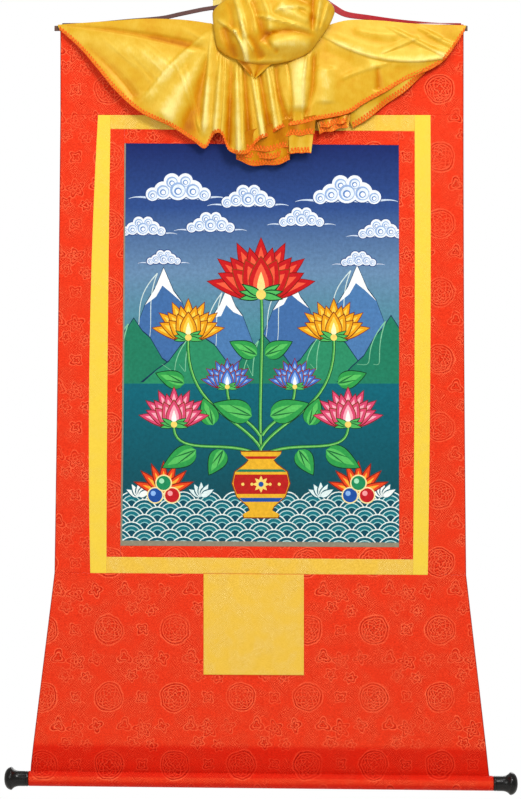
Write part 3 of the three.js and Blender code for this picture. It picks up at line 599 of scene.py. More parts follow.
# Turned knobs: radius and distance from the sleeve's end, out from the blind socket, over the crown to
# the axis
knob = {
    "profile": [(0, 14), (6.3, 14), (6.3, 0), (10.6, 0), (11.3, 0.35), (11.6, 1), (11.6, 3.4), (11.2, 3.8),
                (11.2, 4.3), (11.6, 4.7), (11.6, 13), (11.8, 15.6), (12.3, 18), (13.2, 20.4), (14.5, 22.4),
                (16, 24), (17, 24.9), (17.5, 25.8), (17.6, 26.6), (17.5, 27.4), (17.1, 27.7), (17.1, 28.1),
                (17, 28.5), (16.5, 29.8), (15.5, 31.4), (14, 33), (12, 34.4), (9.4, 35.6), (6.4, 36.4),
                (3.2, 36.8), (0, 36.9)],
    "sides": 72, "gap": 0.3,
}


def makeKnob(side, name, material):
    profile = np.array(knob["profile"])
    turn = np.linspace(0, 2 * math.pi, knob["sides"], endpoint=False)
    ring = profile[1:-1]
    along = side * (skirt["sleeveHalf"] + knob["gap"] + ring[:, 1])
    x = np.repeat(along[:, None], len(turn), 1)
    y = ring[:, :1] * np.cos(turn) * side
    z = ring[:, :1] * np.sin(turn)
    points = np.stack([x, y, z], -1).reshape(-1, 3)
    ends = [(side * (skirt["sleeveHalf"] + knob["gap"] + end[1]), 0, 0) for end in (profile[0], profile[-1])]
    points = np.vstack([points, ends])
    c, s = math.cos(skirt["tilt"]), math.sin(skirt["tilt"])
    tilted = np.stack([points[:, 0] * c + points[:, 2] * s, points[:, 1],
                       skirt["rollerZ"] - points[:, 0] * s + points[:, 2] * c], -1)
    sides = knob["sides"]
    faces = []
    for row in range(len(ring) - 1):
        for k in range(sides):
            a, b = row * sides + k, row * sides + (k + 1) % sides
            faces.append((a, b, b + sides, a + sides))
    inner, outer = len(ring) * sides, len(ring) * sides + 1
    for k in range(sides):
        after = (k + 1) % sides
        faces.append((inner, after, k))
        faces.append((outer, (len(ring) - 1) * sides + k, (len(ring) - 1) * sides + after))
    newPiece(name + "_turned", tilted * mm, faces, [material], [name], sharpAngle=35)


blackLacquer = lacquerMaterial()
for side, knobName in ((-1, "knob_left"), (1, "knob_right")):
    makeKnob(side, knobName, blackLacquer)
print("knobs turned")


# Silk satin: a smooth float-woven face with a broad gloss; its colour carries painted light and shade from the
# fold attribute, deep amber where folds would reflect into each other and pale on ridges
def satinMaterial():
    material, tree = newMaterial("silk_satin_woven")
    place = addNode(tree, "TexCoord", out=3)
    fold = addNode(tree, "Attribute", out=2, attribute_name="fold")
    threads = addNode(tree, "Mapping", {"Vector": place, "Scale": (3.0, 1.0, 0.6)})
    # real threads are 0.1 mm, drawn coarser so that they show
    streak = addNode(tree, "TexNoise", {
        "Vector": threads, "Scale": 1 / (4 * mm), "Detail": 4.0, "Roughness": 0.6})
    soft = addNode(tree, "TexNoise", {"Vector": place, "Scale": 1 / (18 * mm), "Detail": 3.0})
    sway = addNode(tree, "MapRange", [soft, 0.3, 0.7, -0.09, 0.09])
    shadeTone = addNode(tree, "Math", [fold, sway], operation="ADD")
    grain = addNode(tree, "MapRange", [streak, 0.3, 0.7, -0.05, 0.05])
    shadeTone = addNode(tree, "Math", [shadeTone, grain], operation="ADD")
    # painted light and shade: the ramp runs from shaded amber through the satin's own yellow to a pale painted
    # highlight
    colour = addNode(tree, "ValToRGB", [shadeTone])
    fillRamp(colour, [(0.0, "b06000"), (0.25, "c88204"), (0.5, "d2a224"), (0.72, "dcb742"), (1.0, "f0dc84")])
    rough = addNode(tree, "MapRange", [streak, 0.3, 0.7, 0.3, 0.4])
    crinkle = addNode(tree, "TexNoise", {"Vector": place, "Scale": 1 / (11 * mm), "Detail": 2.0})
    height = addNode(tree, "Math", [streak, 0.1, crinkle], operation="MULTIPLY_ADD")
    bump = addNode(tree, "Bump", {"Height": height, "Strength": 0.25, "Distance": 1.0 * mm})
    skin = addNode(tree, "BsdfPrincipled", {
        "Base Color": colour, "Roughness": rough, "IOR": 1.5, "Specular IOR Level": 0.6,
        "Specular Tint": srgb("ffda84"), "Anisotropic": 0.4, "Normal": bump})
    addNode(tree, "OutputMaterial", [skin])
    return material


# Overlock thread: twisted, matt, orange
def threadMaterial():
    material, tree = newMaterial("polyester_thread_twisted")
    place = addNode(tree, "TexCoord", out=3)
    twist = addNode(tree, "TexNoise", {"Vector": place, "Scale": 1 / (1.5 * mm), "Detail": 3.0})
    colour = addNode(tree, "ValToRGB", [twist])
    fillRamp(colour, [(0.3, "c84604"), (0.55, "ee7012"), (0.8, "fba33a")])
    bump = addNode(tree, "Bump", {"Height": twist, "Strength": 0.4, "Distance": 0.2 * mm})
    skin = addNode(tree, "BsdfPrincipled", {
        "Base Color": colour, "Roughness": 0.7, "Specular IOR Level": 0.2, "Normal": bump})
    addNode(tree, "OutputMaterial", [skin])
    return material


silkSatin = satinMaterial()
hemThread = threadMaterial()

# Cover cloth from the left corner to the right: upper edge x, z and how far it stands in front, then the
# hem the same way
veil = {
    "thick": 1.0, "belly": 5, "foldsStart": 0.25, "columnsPerStation": 14, "rows": 96,
    "stations": [
        (-313, -88, 4.8, -310, -95, 5.5), (-271, -85, 6, -279, -123, 10), (-225, -82, 7, -251, -156, 14),
        (-179, -79, 8, -222, -191, 16), (-132, -80, 9, -185, -223, 16), (-102, -83, 11, -140, -244, 16),
        (-84, -86, 13, -106, -265, 14), (-74, -88, 14, -86, -278, 13), (-70, -97, 15, -72, -257, 18),
        (-66, -117, 15, -60, -258, 22), (-49, -126, 14, -48, -283, 24), (-23, -129, 14, -22, -287, 24),
        (2, -129, 14, -5, -268, 24), (25, -129, 14, 11, -260, 24), (45, -128, 14, 35, -246, 23),
        (62, -125, 14, 62, -241, 22), (74, -117, 15, 85, -235, 21), (80, -108, 15, 108, -231, 20),
        (86, -98, 14, 136, -224, 19), (111, -87, 12, 159, -209, 17), (140, -81, 10, 192, -191, 15),
        (183, -82, 8, 225, -172, 13), (229, -86, 7, 265, -154, 11), (276, -88, 6, 286, -137, 8),
        (316, -89, 4.8, 313, -97, 5.5)],
    # folds: both ends' x and z, sideways bow, half-widths and heights at both ends, and how much narrower
    # the fold is on the right-hand side of its run
    "folds": [
        (-290, -90, -108, -122, 4, 4, 8, -1, -6, 0.6), (-285, -105, -150, -150, 6, 9, 18, 1, 4, 1),
        (-78, -98, -171, -192, -5, 12, 16, 5, 4, 0.14), (-86, -130, -143, -225, -2, 6, 16, 2, 7, 1),
        (-84, -150, -112, -250, 0, 6, 14, -2, -6, 1), (-77, -110, -87, -240, 0, 4, 7, 2, 8, 0.6),
        (-62, -142, -70, -246, 0, 4, 6, 2, 6, 0.7), (-46, -155, -50, -268, 0, 4, 5, -2, -7, 1),
        (-38, -150, -35, -276, 0, 4, 6, 3, 8, 0.6), (-26, -155, -18, -276, 0, 4, 6, -3, -7, 1),
        (-16, -155, 2, -262, 0, 4, 5, 3, 7, 0.6), (-4, -155, 13, -252, 0, 4, 5, -3, -6, 1),
        (8, -150, 23, -249, 0, 4, 5, 3, 6, 0.6), (24, -150, 38, -230, -5, 4, 6, -3, -5, 1),
        (57, -140, 58, -212, 0, 14, 14, 6, 6, 1), (81, -140, 68, -225, 4, 4, 6, -4, -4, 1),
        (86, -100, 277, -140, -20, 10, 14, 4, 5, 0.14), (205, -97, 280, -136, 0, 3, 3, 2, 3, 0.6),
        (189, -131, 236, -111, 0, 5, 4, 2, 2, 0.5), (246, -94, 274, -109, 0, 3, 3, 1.5, 2, 1),
        (262, -105, 293, -120, 0, 2.5, 2.5, 1.5, 2, 1), (179, -158, 181, -186, 0, 3, 6, -3, -4, 1),
        (98, -160, 100, -205, 0, 12, 12, 4, 4, 1), (-192, -123, -149, -163, 1, 1.6, 1.8, 0.6, 0.8, 1),
        (-182, -118, -140, -156, 0, 1.5, 1.6, 0.5, 0.7, 1), (-203, -126, -158, -172, -1, 1.6, 2, 0.5, 0.8, 1),
        (-172, -117, -134, -150, 1, 1.5, 1.5, 0.4, 0.6, 1), (-214, -118, -168, -178, -2, 2, 2.4, 0.5, 0.8, 1),
        (-240, -112, -196, -150, 0, 2.4, 3, 0.6, 0.8, 1), (-150, -86, -96, -108, 3, 3, 4, 1.4, 2.4, 0.5),
        (-210, -84, -120, -98, 2, 3, 4, 0.8, 1.4, 1), (-260, -128, -196, -196, 3, 6, 8, -1, -3, 1),
        (-128, -158, -102, -238, 3, 3, 5, 1.2, 2, 0.4), (-118, -152, -96, -246, 2, 2.5, 4, 1, 2, 0.5),
        (-55, -146, -60, -250, 1, 2, 3, 1.5, 3, 0.7), (-30, -152, -27, -270, 0, 2, 2.5, 1.5, 3, 0.7),
        (-9, -152, 4, -255, 0, 2, 2.5, 1.5, 3, 0.7), (16, -150, 30, -240, 0, 2, 2.5, 1.5, 3, 0.7),
        (40, -146, 46, -232, 3, 2, 3, -2, -3, 1), (70, -138, 64, -226, -3, 2, 3, 2, 3, 0.6),
        (110, -120, 170, -150, 4, 8, 10, 1.5, 1.5, 1), (130, -170, 190, -150, 2, 5, 6, 1.5, 1.5, 0.5),
        (150, -96, 205, -104, -2, 6, 8, 1.5, 1.5, 1), (205, -150, 250, -146, 0, 4, 5, 1, 1.5, 1)],
}


# Height of all folds at one place, each a soft ridge or trough that fades at its ends
def foldHeight(folds, x, z):
    total = np.zeros_like(x)
    for x0, z0, x1, z1, bow, w0, w1, h0, h1, lee in folds:
        length = math.hypot(x1 - x0, z1 - z0)
        alongX, alongZ = (x1 - x0) / length, (z1 - z0) / length
        s = ((x - x0) * alongX + (z - z0) * alongZ) / length
        inside = np.clip(s, 0, 1)
        sideways = (z - z0) * alongX - (x - x0) * alongZ - bow * 4 * inside * (1 - inside)
        wide = lerp(w0, w1, inside) * np.where(sideways < 0, lee, 1)
        fade = smoothstep(s, -0.18, 0) * (1 - smoothstep(s, 1, 1.18))
        total += fade * lerp(h0, h1, inside) * np.exp(-(sideways / wide) ** 2)
    return total


# Cloth of the veil in one or more sheets, with painted light and shade, mostly from the depth of its folds, kept
# in the fold attribute for the satin's colour
def makeSatin(name, sheets, shades):
    points, faces, shadeTones = [], [], []
    start = 0
    for middle, depth in zip(sheets, shades):
        offset = surfaceNormals(middle) * veil["thick"] / 2
        points += [(middle + offset).reshape(-1, 3), (middle - offset).reshape(-1, 3)]
        faces.append(sheetFaces(*middle.shape[:2]) + start)
        shadeTones += [depth.ravel(), depth.ravel()]
        start += 2 * depth.size
    points = np.concatenate(points)
    piece = newPiece(name, points * mm, np.concatenate(faces), [silkSatin], ["veil"])
    fold = piece.data.attributes.new("fold", "FLOAT", "POINT")
    fold.data.foreach_set("value", np.clip(np.concatenate(shadeTones), 0, 1).astype(np.float32))


def veilWings():
    columns = (len(veil["stations"]) - 1) * veil["columnsPerStation"]
    u, v = np.meshgrid(np.linspace(0, 1, columns + 1), np.linspace(0, 1, veil["rows"] + 1))
    topX, topZ, topOut, hemX, hemZ, hemOut = np.moveaxis(alongTable(veil["stations"], u), -1, 0)
    x, z = lerp(topX, hemX, v), lerp(topZ, hemZ, v)
    belly = veil["belly"] * np.sin(np.pi * v) * np.sin(np.pi * u)
    folds = foldHeight(veil["folds"], x, z) * smoothstep(v, 0, veil["foldsStart"])
    out = np.maximum(lerp(topOut, hemOut, v) + belly + folds, topOut)
    # painted light and shade: ridges lighter, troughs deeper amber
    return np.stack([x, -out, z], -1), 0.5 + folds / 13


# Tucked-up puff: from the waist behind it, round its foot, up its front and over its top to the back
puff = {
    "footLeft": -68, "footRight": 82, "topLeft": -74, "topRight": 112, "waistRise": 20,
    "footEdge": -120, "footMiddle": -149, "topEdge": (-71, -66), "topMiddle": -29, "backEnd": -78,
    "waistOut": 16, "footOut": 28, "frontOut": 46, "topOut": 27, "backOut": 8.5, "crownPower": 0.55,
    "shoulderPower": (0.7, 0.55), "columns": 150, "rows": 130,
    "folds": [
        (-38, -57, -23, -146, 3, 5, 6, 4, 6, 0.6), (-56, -98, -42, -138, 0, 8, 8, -7, -6, 1),
        (-12, -60, 5, -112, 0, 7, 8, -3, -5, 1), (30, -66, 68, -84, 0, 14, 12, 4, 4, 0.6),
        (12, -106, 74, -106, 5, 4, 4, -5, -4, 1), (20, -123, 70, -121, 3, 9, 9, 5, 5, 1),
        (-64, -86, -40, -104, 0, 4, 4, 5, 6, 0.3), (-40, -104, -24, -145, 2, 3, 4, 6, 7, 0.3),
        (-24, -50, -8, -100, 3, 4, 5, 2, 3, 0.6), (2, -52, 14, -96, 2, 4, 6, 2, 3, 0.6),
        (18, -48, 74, -60, 3, 6, 6, -2, -3, 1), (0, -80, 72, -98, 0, 4, 5, 3, 3, 0.35),
        (-50, -60, -44, -96, 2, 4, 5, -2, -3, 1), (60, -70, 92, -90, 0, 5, 5, -3, -3, 1),
        (8, -118, 24, -132, 0, 4, 4, -2, -3, 1), (-20, -112, 0, -140, 2, 6, 7, -3, -4, 1),
        (90, -54, 84, -96, 0, 4, 4, 6, 6, 0.5), (104, -54, 92, -94, 0, 3.5, 3.5, 5, 6, 0.5),
        (80, -50, 78, -96, 0, 4, 4, -6, -6, 1), (-20, -148, 40, -146, 0, 4, 4, 3, 3, 0.5),
        (24, -70, 64, -66, 2, 3, 3, 3, 3, 0.4), (-30, -90, -14, -128, -2, 3, 3, 3, 4, 0.4)],
}


def veilPuff():
    # columns are closer together towards the sides
    closing = (1 - np.cos(np.linspace(0, np.pi, puff["columns"] + 1))) / 2
    u, v = np.meshgrid(closing, np.linspace(0, 1, puff["rows"] + 1))
    crown = np.sin(np.pi * np.clip(u, 1e-6, 1 - 1e-6)) ** puff["crownPower"]
    foot = lerp(puff["footEdge"], puff["footMiddle"], crown)
    shoulder = np.sin(np.pi * np.clip(u, 1e-6, 1 - 1e-6)) ** lerp(*puff["shoulderPower"], u)
    top = lerp(lerp(*puff["topEdge"], u), puff["topMiddle"], shoulder)
    waist, front = puff["waistOut"], puff["frontOut"]
    levels = [foot + puff["waistRise"], foot + 3, foot, lerp(foot, top, 0.2), lerp(foot, top, 0.55),
              lerp(foot, top, 0.88), top, top - 6, lerp(top, puff["backEnd"], 0.6),
              np.minimum(puff["backEnd"], top - 12)]
    outs = [waist, waist + 3, lerp(waist + 4, puff["footOut"], crown), lerp(waist + 5, front - 4, crown),
            lerp(waist + 4, front, crown), lerp(waist, front - 7, crown),
            lerp(waist - 2, puff["topOut"], crown), lerp(puff["backOut"] + 2, puff["topOut"] - 12, crown),
            puff["backOut"], puff["backOut"]]
    wides = [0, 0, 0, 0.3, 0.75, 1, 1, 1, 0.9, 0.8]
    table = np.stack([np.stack([level + 0 * u, out + 0 * u, wide + 0 * u], -1)
                      for level, out, wide in zip(levels, outs, wides)])
    grid = np.stack([alongTable(table[:, row], v[row, 0]) for row in range(len(v))])
    level, out, wide = np.moveaxis(grid, -1, 0)
    leftX = lerp(puff["footLeft"], puff["topLeft"], wide)
    x = lerp(leftX, lerp(puff["footRight"], puff["topRight"], wide), u)
    onFront = smoothstep(v, 0.12, 0.3) * (1 - smoothstep(v, 0.55, 0.72)) * crown
    folds = foldHeight(puff["folds"], x, level) * onFront
    # painted light and shade: ridges lighter, troughs darker, and painted shade at the waist and round the foot
    shadeTone = 0.5 + folds / 12 - 0.25 * (1 - smoothstep(v, 0.1, 0.3))
    return np.stack([x, -out - folds, level], -1), shadeTone


# Loose ends, stacked: upper edge x0, z0, x1, z1 and front, then lower edge the same way, and its sag
looseEnds = {
    # each layer's painted light and shade for the satin
    "columns": 60, "rows": 30, "ripple": 1.3, "shadeTones": (0.3, 0.16, 0.18, 0.2, 0.6, 0.14, 0.14, 0.16, 0.62),
    "rowsOfCloth": [
        (-38, -142, 26, -142, 25, -13, -171, -8, -171, 24, 0),
        (-40, -268, 46, -240, 22, -38, -296, 44, -296, 13, 9),
        (-38, -262, 44, -236, 23.5, -36, -287, 43, -286, 16, 8),
        (-36, -258, 42, -234, 25, -33, -278, 42, -276, 19, 6),
        (40, -238, 84, -226, 20, 44, -286, 77, -285, 17, 0),
        (36, -236, 84, -228, 22, 38, -259, 82, -256, 20, 1),
        (82, -222, 140, -212, 11, 90, -256, 134, -245, 15, 0),
        (84, -222, 138, -212, 12.5, 91, -248, 131, -238, 17.5, 0),
        (126, -215, 248, -158, 14, 141, -247, 252, -163, 8, 3)],
}


def veilEnds():
    u, v = np.meshgrid(np.linspace(0, 1, looseEnds["columns"] + 1), np.linspace(0, 1, looseEnds["rows"] + 1))
    sheets, shades = [], []
    for number, (a0, c0, a1, c1, upOut, b0, d0, b1, d1, lowOut, sag) in enumerate(looseEnds["rowsOfCloth"]):
        swell = np.sin(4 * np.pi * u + number) + 0.6 * np.sin(11 * u + 2 * number)
        ripple = looseEnds["ripple"] * swell * v
        x = lerp(lerp(a0, a1, u), lerp(b0, b1, u), v)
        z = lerp(lerp(c0, c1, u), lerp(d0, d1, u) - sag * np.sin(np.pi * u) + 0.8 * ripple, v)
        sheets.append(np.stack([x, -lerp(upOut, lowOut, v) + ripple, z], -1))
        # painted shade: each layer's own lightness, darkened towards its upper edge and where the ripple sinks
        # back
        shades.append(looseEnds["shadeTones"][number] - ripple / 8 - 0.15 * (1 - v))
    return sheets, shades


# Corner of the cloth that comes up behind the ribbon's left leg and is turned over it
tuck = {
    "left": -74, "right": -40, "crestLeft": -44, "crestRight": -32, "foot": -84, "curl": 1.5,
    "turned": 0.25, "fold": 0.9, "frontOut": 1, "backOut": -8.6, "columns": 50, "rows": 60, "shadeTone": 0.95,
}


def veilTuck():
    u, v = np.meshgrid(np.linspace(0, 1, tuck["columns"] + 1), np.linspace(0, 1, tuck["rows"] + 1))
    over = np.clip(v / tuck["turned"], 0, 1)
    down = np.clip((v - tuck["turned"]) / (1 - tuck["turned"]), 0, 1)
    x = lerp(tuck["left"], tuck["right"], u)
    pleat = tuck["fold"] * (np.sin(9 * u + 0.6) + 0.5 * np.sin(23 * u))
    y = -lerp(tuck["frontOut"], tuck["backOut"], smoothstep(v, 0, 1.4 * tuck["turned"])) - pleat
    crest = lerp(tuck["crestLeft"], tuck["crestRight"], u)
    z = lerp(crest, tuck["foot"], down ** 1.4) - tuck["curl"] * (1 - over) ** 2
    # painted light: the tuck is given a bright tone, paler on its pleats' forward ridges
    return np.stack([x, y, z], -1), tuck["shadeTone"] + pleat / 4


# Overlock stitches over a hem: slanting threads across it and a cord of thread along the edge
hem = {
    "pitch": 2.5, "wingReach": 5.6, "endReach": 8, "slant": 2.0, "halfWidth": 0.85, "halfHeight": 0.4,
    "lift": 0.75, "cord": 1.0, "cordSides": 8,
}


def alongEdge(values, walked, places):
    return np.stack([np.interp(places, walked, values[:, k]) for k in range(3)], -1)


def makeStitches(name, sheets, reach):
    points, faces, start = [], [], 0
    bar = np.array([(0, 1, 3, 2), (4, 6, 7, 5), (0, 4, 5, 1), (1, 5, 7, 3), (3, 7, 6, 2), (2, 6, 4, 0)])
    for grid in sheets:
        edge, normal = grid[-1], surfaceNormals(grid)[-1]
        inward = grid[-4] - edge
        inward /= np.linalg.norm(inward, axis=1, keepdims=True)
        walked = np.concatenate([[0], np.cumsum(np.linalg.norm(np.diff(edge, axis=0), axis=1))])
        places = np.arange(hem["pitch"], walked[-1] - hem["pitch"], hem["pitch"])
        at, front, into = (alongEdge(v, walked, places) for v in (edge, normal, inward))
        run = np.cross(front, into)
        sway = np.where(np.arange(len(places)) % 2, 1, -1)[:, None] * hem["slant"] / 2
        foot = at + front * hem["lift"] - run * sway
        head = at + front * hem["lift"] + into * reach + run * sway
        ahead = (head - foot) / np.linalg.norm(head - foot, axis=1, keepdims=True)
        side, rise = np.cross(front, ahead) * hem["halfWidth"], front * hem["halfHeight"]
        corners = [end + a * side + b * rise for end in (foot, head) for a in (-1, 1) for b in (-1, 1)]
        points.append(np.stack(corners, 1).reshape(-1, 3))
        faces += [tuple(f + start + 8 * k) for k in range(len(places)) for f in bar]
        start += 8 * len(places)
        sides = hem["cordSides"]
        turn = np.linspace(0, 2 * np.pi, sides, endpoint=False)
        around = normal[:, None] * np.cos(turn)[:, None] + inward[:, None] * np.sin(turn)[:, None]
        tube = edge[:, None] + hem["cord"] * around
        points.append(tube.reshape(-1, 3))
        for k in range(len(edge) - 1):
            for j in range(sides):
                a, b = start + k * sides + j, start + k * sides + (j + 1) % sides
                faces.append((a, a + sides, b + sides, b))
        last = start + len(edge) * sides - 1
        faces += [tuple(range(start, start + sides)), tuple(range(last, last - sides, -1))]
        start = last + 1
    return newPiece(name, np.concatenate(points) * mm, faces, [hemThread], ["veil"])


def makeVeil():
    wings, wingShade = veilWings()
    stitches = makeStitches("veil_wings_overlock", [wings], hem["wingReach"])
    makeSatin("veil_wings", [wings], [wingShade])
    puffGrid, puffShade = veilPuff()
    makeSatin("veil_puff", [puffGrid], [puffShade])
    ends, endShades = veilEnds()
    stitches = makeStitches("veil_ends_overlock", ends[1:], hem["endReach"])
    makeSatin("veil_ends", ends, endShades)
    tuckGrid, tuckShade = veilTuck()
    makeSatin("veil_tuck", [tuckGrid], [tuckShade])


makeVeil()
print("veil draped")


# Painted cotton: mineral colours on primed canvas, a dry surface with the weave showing through. The ground
# runs from night blue to green water, and shapes laid over it carry their own colour.
def paintedMaterial():
    material, tree = newMaterial("cotton_painted")
    place = addNode(tree, "TexCoord", out=3)
    split = addNode(tree, "SeparateXYZ", [place]).node
    level = addNode(tree, "MapRange", [split.outputs[2], levelSeams["pictureTop"][0] * mm,
                                       levelSeams["pictureBottom"][1] * mm, 0.0, 1.0])
    ground = addNode(tree, "ValToRGB", [level])
    fillRamp(ground, [(0.0, "14235f"), (0.16, "2c4a86"), (0.32, "6486a8"), (0.46, "4b8896"), (0.58, "0a6474"),
                      (0.8, "0c5360"), (1.0, "17383f")])
    laid = addNode(tree, "Attribute", out=0, attribute_name="paint").node
    colour = addNode(tree, "Mix", {0: laid.outputs["Alpha"], 6: ground, 7: laid.outputs["Color"]},
                     out=2, data_type="RGBA")
    brush = addNode(tree, "TexNoise", {
        "Vector": place, "Scale": 1 / (5 * mm), "Detail": 5.0, "Roughness": 0.6})
    tint = addNode(tree, "MapRange", [brush, 0.3, 0.7, 0.86, 1.12])
    colour = addNode(tree, "VectorMath", {0: colour, "Scale": tint}, operation="SCALE")
    # canvas threads are 0.5 mm, drawn coarser so that they show
    warp = addNode(tree, "TexWave", {"Vector": place, "Scale": math.pi / 20 / (1.6 * mm), "Distortion": 0.5})
    weft = addNode(tree, "TexWave", {"Vector": place, "Scale": math.pi / 20 / (1.6 * mm), "Distortion": 0.5},
                   bands_direction="Z")
    weave = addNode(tree, "Math", [warp, weft], operation="MULTIPLY")
    bump = addNode(tree, "Bump", {"Height": weave, "Strength": 0.18, "Distance": 0.2 * mm})
    rough = addNode(tree, "MapRange", [brush, 0.3, 0.7, 0.45, 0.6])
    skin = addNode(tree, "BsdfPrincipled", {
        "Base Color": colour, "Roughness": rough, "IOR": 1.5, "Specular IOR Level": 0.1, "Normal": bump})
    addNode(tree, "OutputMaterial", [skin])
    return material


# Raw cotton canvas, the picture's reverse: undyed, matt, evenly woven
def canvasMaterial():
    material, tree = newMaterial("cotton_canvas_raw")
    place = addNode(tree, "TexCoord", out=3)
    slub = addNode(tree, "TexNoise", {"Vector": place, "Scale": 1 / (4 * mm), "Detail": 5.0})
    colour = addNode(tree, "ValToRGB", [slub])
    fillRamp(colour, [(0.3, "cbbb9a"), (0.7, "e2d6bb")])
    bump = addNode(tree, "Bump", {"Height": slub, "Strength": 0.3, "Distance": 0.3 * mm})
    skin = addNode(tree, "BsdfPrincipled", {"Base Color": colour, "Roughness": 0.85, "Normal": bump})
    addNode(tree, "OutputMaterial", [skin])
    return material


# The painting is a plain traditional one of its own: a lotus tree in a vase, with clouds, hills and water.
# Every shape is an outline in millimetres on the picture's plane, later ones over earlier ones.
painting = {
    "rimWidth": 2.5, "rim": "8f8672", "merge": 0.02,  # outlines closer than this share a point
    "hills": [  # middle, half-width, peak z, colour, snow
        (-150, 95, -462, "3f6aa2", True), (-52, 80, -492, "4a78ac", True), (46, 92, -474, "3f6aa2", True),
        (148, 98, -458, "4a78ac", True), (-196, 84, -540, "1f7a5c", False), (-98, 88, -556, "2a8a62", False),
        (4, 80, -566, "1f7a5c", False), (104, 88, -552, "2a8a62", False), (200, 84, -536, "1f7a5c", False)],
    "hillFoot": -640,
    "clouds": [  # middle x, z, size
        (-128, -338, 1.15), (132, -342, 1.2), (-20, -352, 0.95), (62, -384, 0.8), (-78, -392, 0.85),
        (-182, -398, 0.8), (184, -402, 0.8), (-150, -446, 0.6), (150, -448, 0.62)],
    "cloudDiscs": [
        (-34, -9, 9), (35, -9, 9), (-20, -4, 12), (20, -3, 13), (-8, 8, 11), (10, 9, 10), (0, -2, 15)],
    "cloudTail": [(0, -10), (30, -20), (50, -8), (66, -15)],
    "waterTop": -806, "scale": 21,
    "scaleRings": [(1, "e6f0ea"), (0.92, "0d5868"), (0.72, "bfe0dc"), (0.65, "15707c"), (0.42, "8cc8c8"),
                   (0.35, "0a4a5c")],
    "blossoms": [  # foot x, z, petal length, outer, middle, inner colour
        (0, -500, 84, "c4161c", "ee5a3c", "ffd98a"), (-112, -566, 56, "e8a018", "f6cf4a", "fff2b8"),
        (112, -566, 56, "e8a018", "f6cf4a", "fff2b8"), (-134, -700, 54, "d8486e", "f7a9b8", "fff4ee"),
        (134, -700, 54, "d8486e", "f7a9b8", "fff4ee"), (-52, -642, 40, "3c6cc0", "8fb6ea", "f2f8ff"),
        (52, -642, 40, "3c6cc0", "8fb6ea", "f2f8ff")],
    "stems": [  # start, two pulls and end of each stem
        ((0, -748), (-4, -660), (5, -580), (0, -500)),
        ((0, -740), (-30, -690), (-120, -680), (-112, -566)),
        ((0, -740), (30, -690), (120, -680), (112, -566)),
        ((0, -752), (-50, -720), (-140, -760), (-134, -700)),
        ((0, -752), (50, -720), (140, -760), (134, -700)),
        ((-2, -720), (-20, -690), (-54, -690), (-52, -642)),
        ((2, -720), (20, -690), (54, -690), (52, -642))],
    "leaves": [  # foot x, z, angle from upright, length, width
        (-14, -690, 72, 62, 20), (14, -690, -72, 62, 20), (-74, -704, 20, 44, 16), (74, -704, -20, 44, 16),
        (-100, -742, 118, 58, 18), (100, -742, -118, 58, 18), (-6, -596, 64, 46, 15), (6, -596, -64, 46, 15),
        (-118, -640, 70, 46, 15), (118, -640, -70, 46, 15), (-58, -742, 150, 44, 16), (58, -742, -150, 44, 16)],
    "vase": {"x": 0, "foot": -846, "profile": [
        (0, 0), (26, 0), (28, 5), (17, 11), (20, 17), (37, 32), (44, 52), (40, 70), (24, 82), (19, 88),
        (30, 97), (31, 101)]},
    "petalRows": [  # turns of a blossom's petals and their share of its length
        ((78, 52, 26, -26, -52, -78, 0), 1.0), ((64, 40, -40, -64, 14, -14), 0.86),
        ((48, 24, -48, -24, 0), 0.7)],
    "jewels": [(-150, -812), (150, -812)],
    "stones": [(-13, 0, "1d4fa0", "8ab4ea"), (13, 0, "c01c24", "f4a0a0"), (0, 19, "1f8a58", "a4e0b8")],
}
shapes = []  # colour and outline of each shape, in the order they are laid


# Outlines run counterclockwise, which the triangulation counts on
def counterclockwise(points):
    points = np.asarray(points, float)
    x, z = points.T
    return points if np.sum(x * np.roll(z, -1) - np.roll(x, -1) * z) > 0 else points[::-1]


def lay(colour, points):
    shapes.append((colour, counterclockwise(points)))


def disc(x, z, radius, steps=22):
    turn = np.linspace(0, 2 * math.pi, steps, endpoint=False)
    return np.stack([x + radius * np.cos(turn), z + radius * np.sin(turn)], -1)


# A pointed petal: from its foot, at an angle from upright, with a round belly and a drawn-out tip
def petal(x, z, angle, length, width, steps=9):
    t = np.linspace(0, 1, steps)
    half = width * np.sin(math.pi * t ** 0.75) ** 0.8 * (1 - 0.35 * t)
    along = np.concatenate([t, t[-2:0:-1]]) * length
    side = np.concatenate([half, -half[-2:0:-1]])
    c, s = math.cos(math.radians(angle)), math.sin(math.radians(angle))
    return np.stack([x - along * s + side * c, z + along * c + side * s], -1)


def stroke(points, widthStart, widthEnd):
    points = np.asarray(points, float)
    ahead = np.gradient(points, axis=0)
    ahead /= np.linalg.norm(ahead, axis=1, keepdims=True)
    wide = np.linspace(widthStart, widthEnd, len(points))[:, None]
    side = np.stack([-ahead[:, 1], ahead[:, 0]], -1) * wide / 2
    return np.vstack([points + side, (points - side)[::-1]])


def bezier(a, b, c, d, steps=18):
    t = np.linspace(0, 1, steps)[:, None]
    a, b, c, d = (np.array(p, float) for p in (a, b, c, d))
    return a * (1 - t) ** 3 + 3 * b * t * (1 - t) ** 2 + 3 * c * t ** 2 * (1 - t) + d * t ** 3


